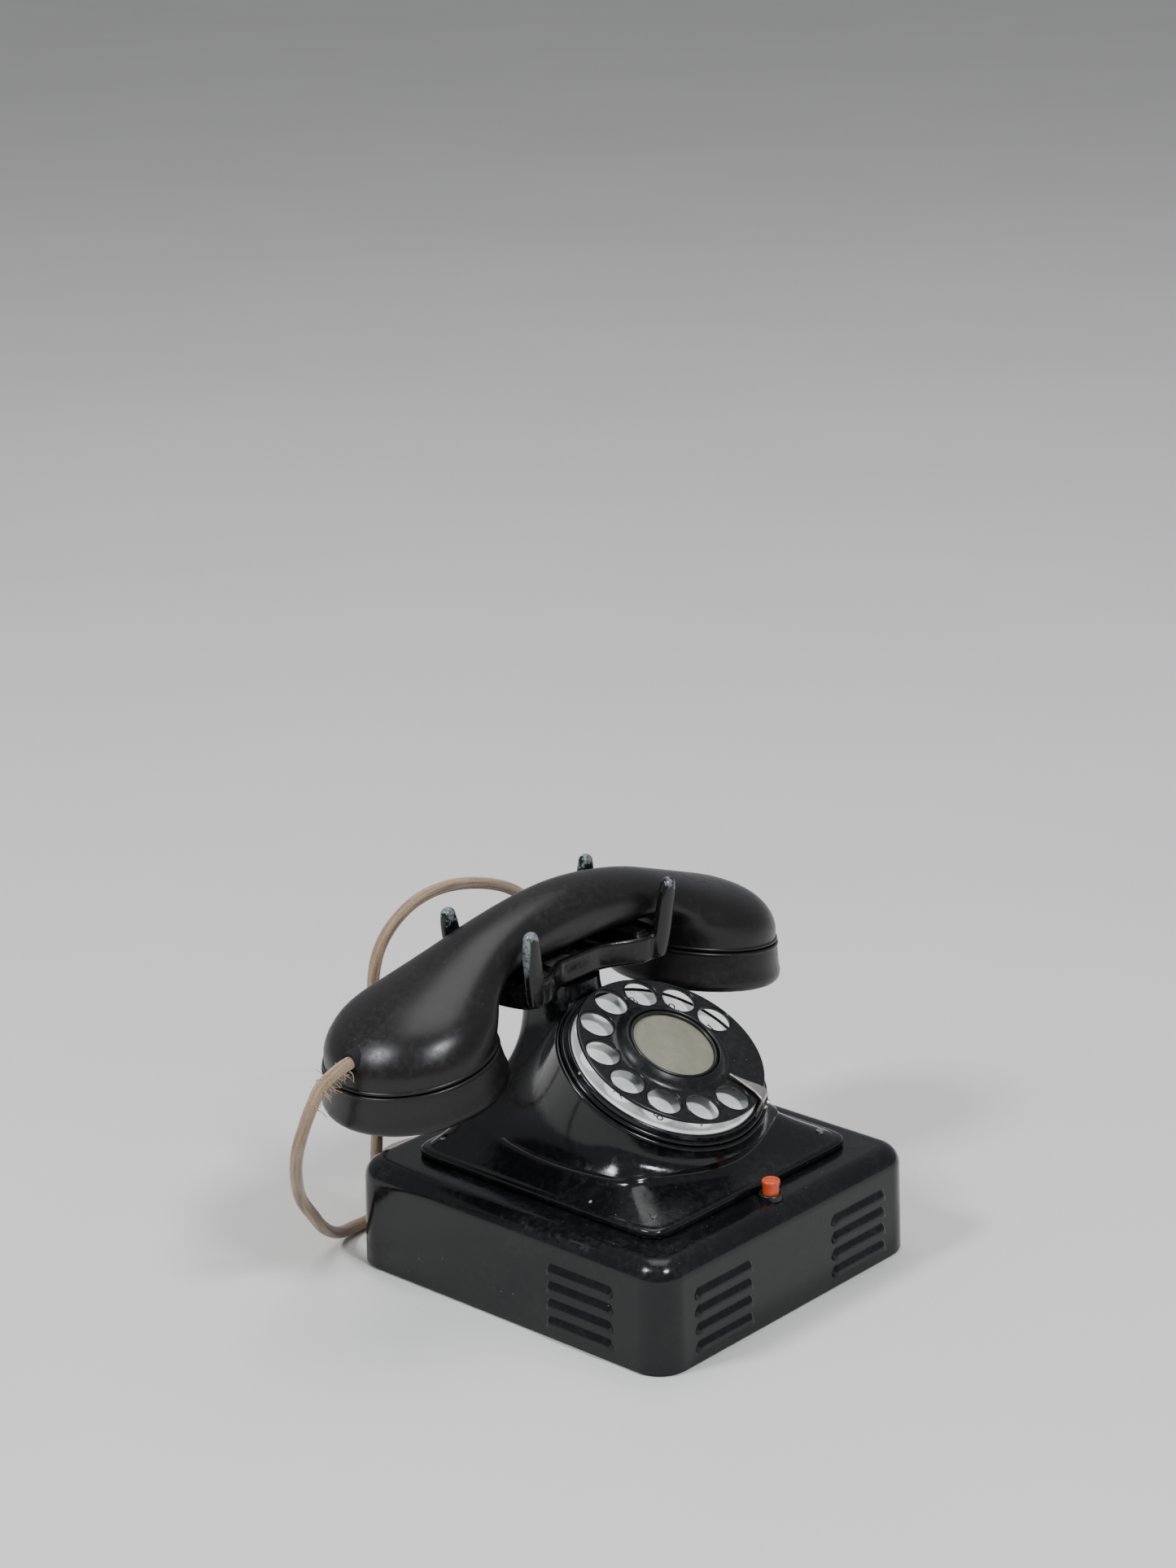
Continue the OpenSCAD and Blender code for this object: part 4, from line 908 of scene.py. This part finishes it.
def inlaid_stroke(line, cx, cy):
    """A thin dark inlay along a digit's stroke, just proud of the plate."""
    pts = np.array(line) * DIGIT_SIZE
    side = np.gradient(pts, axis=0)
    side /= np.linalg.norm(side, axis=1)[:, None] + 1e-9
    normal = np.stack([-side[:, 1], side[:, 0]], 1)
    left, right = pts + DIGIT_STROKE / 2 * normal, pts - DIGIT_STROKE / 2 * normal
    low = [(cx + x, cy + y, PLATE_TOP - 0.05) for x, y in [*left, *right[::-1]]]
    high = [(x, y, PLATE_TOP + 0.03) for x, y, _ in low]
    m = len(low)
    faces = [(i, (i + 1) % m, m + (i + 1) % m, m + i) for i in range(m)]
    for i in range(m // 2 - 1):
        j = m - 1 - i
        faces += [(m + i, m + i + 1, m + j - 1, m + j), (i, j, j - 1, i + 1)]
    return low + high, faces, 1


def plate_with_digits():
    """The glazed plate: a ring with a rounded edge and worn digits."""
    bottom = PLATE_TOP - 1
    profile = [(7, bottom), (PLATE_R - 0.15, bottom), (PLATE_R, bottom + 0.2)]
    profile += arc(PLATE_R - 0.45, PLATE_TOP - 0.45, 0.45, 0, 90, 6) + [(r, PLATE_TOP) for r in (30, 20, 7)]
    parts = [lathe(profile, 160)]
    strokes = digit_strokes()
    for k in range(10):
        theta = math.radians(FIRST_HOLE + 30 * k)
        cx, cy = DIGIT_CIRCLE * math.cos(theta), DIGIT_CIRCLE * math.sin(theta)
        parts += [inlaid_stroke(line, cx, cy) for line in strokes[(k + 1) % 10]]
    verts, faces, slots = joined(*parts)
    obj = make_object("number_plate_glazed", verts, faces, [PLATE_WHITE, PAINTED_SHADE_AND_BLACK], IN_DIAL, slots)
    finish_piece(obj, "base", ["number_plate"])


plate_with_digits()


def finger_wheel_piece():
    """Pressed wheel: a plate with ten holes whose edges are rolled, and a raised dish for the card."""
    t = WHEEL_T / 2
    rise = [(24.5, 0), (23.4, 0.12), (22.6, 0.45), (21.9, 1.0), (21.2, 1.75), (20.5, 2.45), (19.8, 2.95)]
    profile = [(0, -t), (WHEEL_R - 0.9, -t)] + arc(WHEEL_R - 0.8, 0, t, -90, 90, 10) + [(WHEEL_R - 3, t)]
    profile += [(r, t + up) for r, up in rise]
    profile += arc(18.9, t + 2.75, 0.75, 60, 180, 8) + [(18.0, 2.6), (17.85, 2.1), (0, 2.1)]
    obj = make_object("finger_wheel_plate", *lathe(profile, 192), [WHEEL_PAINT], IN_DIAL)
    fix_normals(obj)
    cut(obj, [plug(HOLE_R + 0.35, -3, 3, 64, WHEEL_PAINT, IN_DIAL @ in_hole(i)) for i in range(10)])
    rolled = lathe(ring_profile(HOLE_R + 0.42, 0.05, 0.42, t + 0.28, 18), 64)
    rolls = [moved(rolled, in_hole(i)) for i in range(10)]
    skirt = lathe([(2.5, SEAT + 4.5), (5.4, SEAT + 4.5), (5.4, -t), (2.5, -t)], 48)
    verts, faces, _ = joined(*rolls, skirt)
    extra = make_object("wheel_extra", verts, faces, [WHEEL_PAINT], IN_DIAL)
    merge_into(obj, extra)
    clean(obj, 0.000004)
    finish_piece(obj, "finger_wheel", ["finger_wheel", "wheel_spokes", "wheel_rim"])


finger_wheel_piece()


def card_pieces():
    """The domed card and the rounded ring that holds it in the hub."""
    edge, floor_z = 16.35, 2.12
    domed = [(0, floor_z), (edge, floor_z), (edge, 2.55)]
    domed += [(r, 2.6 + 0.75 * (1 - (r / edge) ** 2)) for r in np.linspace(16.2, 0.4, 16)] + [(0, 3.35)]
    card = make_object("card_disc_domed", *lathe(domed, 128), [CARD], IN_DIAL)
    finish_piece(card, "finger_wheel", ["card_disc"])
    profile = [(edge + 0.1, floor_z), (17.7, floor_z), (17.7, 3.3)] + arc(16.95, 3.3, 0.62, 0, 180, 10)
    ring = make_object("card_ring_rounded", *lathe(profile, 128), [COLLAR_BLACK], IN_DIAL)
    finish_piece(ring, "finger_wheel", ["card_ring"])


card_pieces()


def finger_stop_piece():
    """A bent strip: a leg outside the wheel, a rounded bend, and a pointed tongue over the wheel."""
    z_top = WHEEL_T / 2 + 1
    thick, leg, tip = 1.1, WHEEL_R + 1.1, 23.8
    line = [(leg + 0.6, SEAT + 2.3), (leg + 0.6, -2.0)] + arc(leg - 1.4, -0.2, 2.0, 0, 80, 8)[1:]
    line += [(r, z_top + up) for r, up in ((35.2, 0.35), (32, 0.15), (28.5, 0.1), (25.5, 0.2), (tip, 0.35))]
    widths = []
    for r, z in line:
        if z < -1.5:
            widths.append((-4.4, 2.4))
        else:
            t = max(0.0, min(1.0, (r - tip) / (leg - 1 - tip)))
            widths.append((lerp(-0.35, -4.4, t ** 1.7), lerp(0.35, 2.5, t ** 1.15)))
    pts = np.array(line)
    along = np.gradient(pts, axis=0)
    along /= np.linalg.norm(along, axis=1)[:, None]
    normal = np.stack([along[:, 1], -along[:, 0]], 1)
    rings = []
    cross = 14
    for (r, z), (lo, hi), nv in zip(line, widths, normal):
        ring = []
        mid, half = (lo + hi) / 2, (hi - lo) / 2
        for k in range(cross * 2):
            t = 2 * math.pi * k / (cross * 2)
            y = mid + half * power(math.cos(t), 0.35)
            d = thick / 2 * power(math.sin(t), 0.55)
            ring.append((r + nv[0] * d, y, z + nv[1] * d))
        rings.append(ring)
    verts, faces = skin(rings)
    obj = make_object("finger_stop_blade", verts, faces, [NICKEL],
                      IN_DIAL @ Matrix.Rotation(math.radians(STOP_DEG), 4, "Z"))
    finish_piece(obj, "base", ["finger_stop"], sharp=math.radians(60))


finger_stop_piece()

# ------------------------------------------------------------------ cradle

def rail(x):
    return lerp(WAIST_D, CRADLE_D, smooth((abs(x) - 9) / 20))


def cradle_outline(inset, count=26, end_r=7.0):
    """The cradle from above, waisted in the middle and rounded at both ends."""
    straight = CRADLE_L - inset - end_r
    end = rail(straight) - inset - 1.5
    front = [(straight * i / count, -(rail(straight * i / count) - inset)) for i in range(-count, count + 1)]
    pts = list(front)
    span = math.sin(math.radians(60))
    for side, first in ((1, -60), (-1, 120)):
        for a in range(first, first + 121, 12):
            t = math.radians(a)
            pts.append((side * straight + end_r * math.cos(t), end * math.sin(t) / span))
        if side > 0:
            pts += [(x, -y) for x, y in front[::-1]]
    return pts


def prism(outline, z0, z1):
    return skin([[(x, y, z0) for x, y in outline], [(x, y, z1) for x, y in outline]])


def blob_chain(spots, steps=14, around=24):
    """A smooth tapering finger through spots of (x, y, z, half width along X, half thickness along Y)."""
    path = catmull([s[:3] for s in spots], steps)
    sizes = catmull([(s[3], s[4], 0) for s in spots], steps)
    n = len(path)
    rings = []
    for k in range(n):
        rings.append([(path[k][0] + sizes[k][0] * power(math.cos(t), 0.8),
                       path[k][1] + sizes[k][1] * power(math.sin(t), 0.8), path[k][2])
                      for t in (2 * math.pi * i / around for i in range(around))])
    top, thick = path[-1], sizes[-1][1]
    for k in range(1, 7):
        t = math.radians(15 * k)
        rings.append([(top[0] + (x - top[0]) * math.cos(t), top[1] + (y - top[1]) * math.cos(t),
                       top[2] + thick * 1.02 * math.sin(t)) for x, y, _ in rings[n - 1]])
    return skin(rings)


def cradle_piece():
    """The cradle's tray, pads and four prongs, melted into one smooth skin."""
    inset = 0.9
    obj = make_object("cradle_moulding", *prism(cradle_outline(inset), 0.0, CRADLE_H), [CRADLE_BLACK])
    bevel = obj.modifiers.new("round", "BEVEL")
    bevel.width = inset * MM
    bevel.segments = 3
    bevel.limit_method = "ANGLE"
    apply_modifiers(obj)
    fix_normals(obj)
    obj.data.transform(Matrix.Diagonal((CRADLE_L / (CRADLE_L - inset), CRADLE_D / (CRADLE_D - inset), 1, 1)))
    pocket = make_object("pocket", *prism(cradle_outline(3.4), 3.0, CRADLE_H + 2), [CRADLE_BLACK])
    fix_normals(pocket)
    cut(obj, [pocket])
    pads = []
    y = CRADLE_D - 3
    for x in (-29, 29):
        outline = [(x - 3, -y), (x + 3, -y), (x + 3, y), (x - 3, y)]
        pads.append(prism(outline, 2, HANDLE_Z - 0.3 - CRADLE_Z))
    foot_y = CRADLE_D + 0.4
    spots = [(PRONG_X - 2.6, foot_y - 1.0, 1.2, 3.4, 3.0), (PRONG_X - 1.6, foot_y - 0.3, 6.5, 4.2, 2.8),
             (PRONG_X - 0.8, foot_y + 0.1, 12, 4.3, 2.7), (PRONG_X + 0.4, foot_y + 0.5, 20, 4.2, 2.65),
             (PRONG_X + 1.2, foot_y + 0.9, 26, 3.9, 2.6),
             (PRONG_X + 1.7, foot_y + 1.1, PRONG_H - 2.7, 3.1, 2.5)]
    for sx in (-1, 1):
        for sy in (-1, 1):
            pads.append(blob_chain([(sx * x, sy * y, *rest) for x, y, *rest in spots]))
    verts, faces, _ = joined(*pads)
    extra = make_object("prongs", verts, faces, [CRADLE_BLACK])
    fix_normals(extra)
    merge_into(obj, extra)
    obj.data.transform(Matrix.Translation((0, NECK_Y * MM, CRADLE_Z * MM)))
    remesh = obj.modifiers.new("one_skin", "REMESH")
    remesh.mode = "VOXEL"
    remesh.voxel_size = 0.0006
    relax = obj.modifiers.new("relax", "SMOOTH")
    relax.factor = 0.5
    relax.iterations = 7
    apply_modifiers(obj)
    finish_piece(obj, "cradle", ["cradle"], weighted=False, sharp=math.pi)


cradle_piece()

# ------------------------------------------------------------------ handset

HANDLE_TOP = HANDLE_Z + HANDLE_H
FOOT_OUT = (-CAP_X - DOME_R * math.cos(CAP_TILT), CAP_FACE_Z - DOME_R * math.sin(CAP_TILT))
FOOT_IN = (-CAP_X + DOME_R * math.cos(CAP_TILT), CAP_FACE_Z + DOME_R * math.sin(CAP_TILT))


def outer_at(fx, fz):
    return FOOT_OUT[0] * fx, lerp(FOOT_OUT[1], HANDLE_TOP, fz)


def inner_at(fx, fz):
    return FOOT_IN[0] * fx, lerp(FOOT_IN[1], HANDLE_Z, fz)


# outer edge, inner edge, share of the way from the dome's half width to the handle's, squareness
STATIONS = [
    ((1, 0), (1, 0), 0.0, 1), ((0.999, 0.15), (0.99, 0.2), 0.006, 1),
    ((0.97, 0.28), (0.978, 0.38), 0.06, 0.98),
    ((0.915, 0.40), (0.968, 0.54), 0.16, 0.95), ((0.835, 0.50), (0.957, 0.67), 0.31, 0.92),
    ((0.73, 0.59), (0.94, 0.78), 0.48, 0.88), ((0.615, 0.685), (0.9, 0.88), 0.65, 0.84),
    ((0.505, 0.775), (0.83, 0.955), 0.8, 0.8), ((0.395, 0.86), (0.69, 0.99), 0.9, 0.78),
    ((0.27, 0.93), (0.48, 1), 0.96, 0.76), ((0.135, 0.98), (0.24, 1), 0.99, 0.75),
    ((0, 1), (0, 1), 1.0, 0.75)]


def handset_rings(around=104, per=9):
    rows = [[*outer_at(*o), *inner_at(*i), lerp(DOME_R, HANDLE_W, w), q] for o, i, w, q in STATIONS]
    mirrored = [[-r[0], r[1], -r[2], r[3], r[4], r[5]] for r in rows[-2::-1]]
    rings = []
    for ox, oz, ix, iz, half, flat in catmull(rows + mirrored, per):
        ring = []
        for i in range(around):
            t = 2 * math.pi * i / around
            q = flat if math.cos(t) < 0 else 1
            u = power(math.cos(t), q)
            y = HANDSET_Y + half * power(math.sin(t), q)
            ring.append(((ox + ix) / 2 + (ox - ix) / 2 * u, y, (oz + iz) / 2 + (oz - iz) / 2 * u))
        rings.append(ring)
    return rings


def handset_piece():
    obj = make_object("handset_shell", *skin(handset_rings()), [BAKELITE, PAINTED_SHADE_AND_BLACK])
    fix_normals(obj)
    # the bush's hole gets walls of painted shade
    cut(obj, [plug(4.15, -4, 9, 48, PAINTED_SHADE_AND_BLACK, in_bush(0))])
    # the bead round each dome's foot and the dark thread under it
    parts = []
    for side in (-1, 1):
        bead = lathe(ring_profile(DOME_R - 0.35, 0.75, 0.95, 0.8), 144)
        thread = lathe([(26, -2.2), (DOME_R - 1.1, -2.2), (DOME_R - 1.1, 0.6), (26, 0.6)], 96)
        parts.append(moved((*bead, 0), in_cap(side)))
        parts.append(moved((*thread, 1), in_cap(side)))
    verts, faces, slots = joined(*parts)
    extra = make_object("beads", verts, faces, [BAKELITE, PAINTED_SHADE_AND_BLACK], face_slots=slots)
    merge_into(obj, extra)
    finish_piece(obj, "handset", ["handset_body"])


handset_piece()


def cap_piece(name, node, side, holes, hole_r):
    """A screwed cap: a top bead, a side that flares a little, a rounded lower edge and a dished mouth."""
    h, rt, rb = CAP_H, CAP_TOP_R, CAP_R
    side_line = [(-0.30, -2.35), (-0.22, -2.9), (0.05, -4.0), (0.55, -7.0), (1.1, -10.0)]
    dish = [(28.0, 1.9), (26.5, 2.7), (22, 3.1), (12, 2.8), (0, 2.6)]
    profile = [(0, -8.6), (DOME_R - 2.4, -8.6), (DOME_R - 2.4, -0.45), (rt - 1.0, -0.45)]
    profile += arc(rt - 0.78, -1.2, 0.75, 80, -60, 9) + [(rt + out, z) for out, z in side_line]
    profile += [(rb - 0.15, -h + 4.4)] + arc(rb - 3.1, -h + 3.0, 3.0, 12, -90, 14) + [(30.5, -h)]
    profile += arc(29.6, -h + 0.9, 0.9, -80, -170, 5) + [(r, -h + up) for r, up in dish]
    obj = make_object(name, *lathe(profile, 144), [BAKELITE, PAINTED_SHADE_AND_BLACK], in_cap(side))
    fix_normals(obj)
    parts = []
    for count, radius in holes:
        for i in range(count):
            a = 2 * math.pi * i / count
            parts.append(moved(lathe([(0, -h - 1), (hole_r, -h - 1), (hole_r, -9.2), (0, -9.2)], 14),
                               Matrix.Translation((radius * math.cos(a), radius * math.sin(a), 0))))
    verts, faces, _ = joined(*parts)
    # the holes' walls are painted shade
    drill = make_object("drill", verts, faces, [PAINTED_SHADE_AND_BLACK], in_cap(side))
    fix_normals(drill)
    cut(obj, [drill])
    finish_piece(obj, "handset", [node])


cap_piece("transmitter_cap_turned", "transmitter_cap", -1, [(1, 0), (6, 6), (12, 12), (18, 18)], 1.2)
cap_piece("receiver_cap_turned", "receiver_cap", 1, [(1, 0), (6, 5.5)], 1.6)


def bush_piece():
    hole = CORD_DIA / 2 + 0.05
    profile = [(hole, 0.5), (hole + 0.5, 0.05), (4.0, 0.0), (4.1, 0.35), (4.1, 7.2), (hole, 7.2)]
    obj = make_object("cord_bush_sleeve", *lathe(profile, 48), [PAINTED_SHADE_AND_BLACK], in_bush(0.9))
    finish_piece(obj, "handset", ["cord_bush"])


bush_piece()

# ------------------------------------------------------------------ button

def button_pieces():
    """The button, a little wider at its head, and the collar that it slides in."""
    place = Matrix.Translation((0, BUTTON_Y, 0))
    r, top = BUTTON_R, BUTTON_TOP
    side = r - 0.36
    profile = [(0, LEDGE_Z - 9), (side, LEDGE_Z - 9), (side, top - 3.2), (side + 0.1, top - 2.2)]
    profile += [(side + 0.3, top - 1.2)] + arc(side - 0.2, top - 0.55, 0.55, 0, 90, 7)
    profile += arc(side - 0.5, top - 0.32, 0.28, 90, 180, 4)
    profile += [(side - 0.9, top - 0.58), (1.5, top - 0.5), (0, top - 0.48)]
    button = make_object("push_button_turned", *lathe(profile, 72), [BUTTON_RED], place)
    finish_piece(button, "push_button", ["push_button"])
    inner = r + 0.06
    below = [(inner, -3), (r + 2.2, -3), (r + 2.2, -SHEET), (r + 0.7, -SHEET)]
    below += [(r + 0.7, 0.02), (r + 1.2, 0.02)]
    profile = [(x, LEDGE_Z + z) for x, z in below] + arc(r + 0.7, LEDGE_Z + 1.7, 0.5, 0, 90, 6)
    profile += [(inner + 0.15, LEDGE_Z + 2.2), (inner, LEDGE_Z + 2.0)]
    collar = make_object("button_collar_turned", *lathe(profile, 72), [COLLAR_BLACK], place)
    finish_piece(collar, "base", ["button_collar"])


button_pieces()

# ------------------------------------------------------------------ CAD pieces that stay

STAYING = {
    STEEL: ["bottom_plate", "bottom_screws", "upper_case_screws", "dial_can", "return_spring", "dial_shaft",
            "governor", "cradle_plunger", "hook_lever", "transmitter_capsule", "receiver_capsule",
            "ringer_frame", "gong_posts", "clapper", "condenser"],
    BRASS: ["bearing_plate", "pulse_contacts", "governor_cup", "main_gear", "hook_frame", "hook_contacts",
            "button_contacts", "gong_left", "gong_right", "terminal_screws"],
    NICKEL: ["finger_stop_screws"], RUBBER: ["rubber_feet"], COIL_WRAP: ["ringer_coils", "induction_coil"],
    COLLAR_BLACK: ["terminal_block"],
}
for material, names in STAYING.items():
    for name in names:
        nodes[name].data.materials.clear()
        nodes[name].data.materials.append(material)

# ------------------------------------------------------------------ floor and light

def floor_material():
    w = new_material("floor_paper", (0.70, 0.685, 0.66), 0.75, specular=0.25)
    w.color(w.mix(w.ramp(w.noise(3, 4), 0.35, 0.65), (0.70, 0.685, 0.66), (0.675, 0.66, 0.64)))
    return w.material


FLOOR_REACH = 6000
corners = [(x * FLOOR_REACH, y * FLOOR_REACH, 0) for x, y in ((-1, -1), (1, -1), (1, 1), (-1, 1))]
floor = make_object("floor", corners, [(0, 1, 2, 3)], [floor_material()])

world = bpy.data.worlds.new("studio")
world.use_nodes = True
world.node_tree.nodes["Background"].inputs["Color"].default_value = (0.80, 0.82, 0.86, 1)
world.node_tree.nodes["Background"].inputs["Strength"].default_value = 0.42
bpy.context.scene.world = world


def softbox(name, place, aim, size, power, color=(1, 1, 1)):
    data = bpy.data.lights.new(name, "AREA")
    data.shape = "RECTANGLE"
    data.size, data.size_y = size
    data.energy = power
    data.color = color
    obj = bpy.data.objects.new(name, data)
    bpy.context.scene.collection.objects.link(obj)
    direction = (Vector(aim) - Vector(place)).normalized()
    obj.matrix_world = Matrix.Translation(place) @ direction.to_track_quat("-Z", "Y").to_matrix().to_4x4()


softbox("lamp_left", (-1.33, 0.48, 1.50), (0, 0, 0.08), (0.36, 0.36), 26, (0.93, 0.97, 1.0))
softbox("lamp_front", (-0.32, -1.35, 1.65), (0, 0, 0.08), (0.36, 0.36), 34, (0.93, 0.97, 1.0))
softbox("over", (0.5, 0.4, 2.4), (0, 0, 0.05), (1.5, 1.5), 20)

bpy.context.view_layer.update()
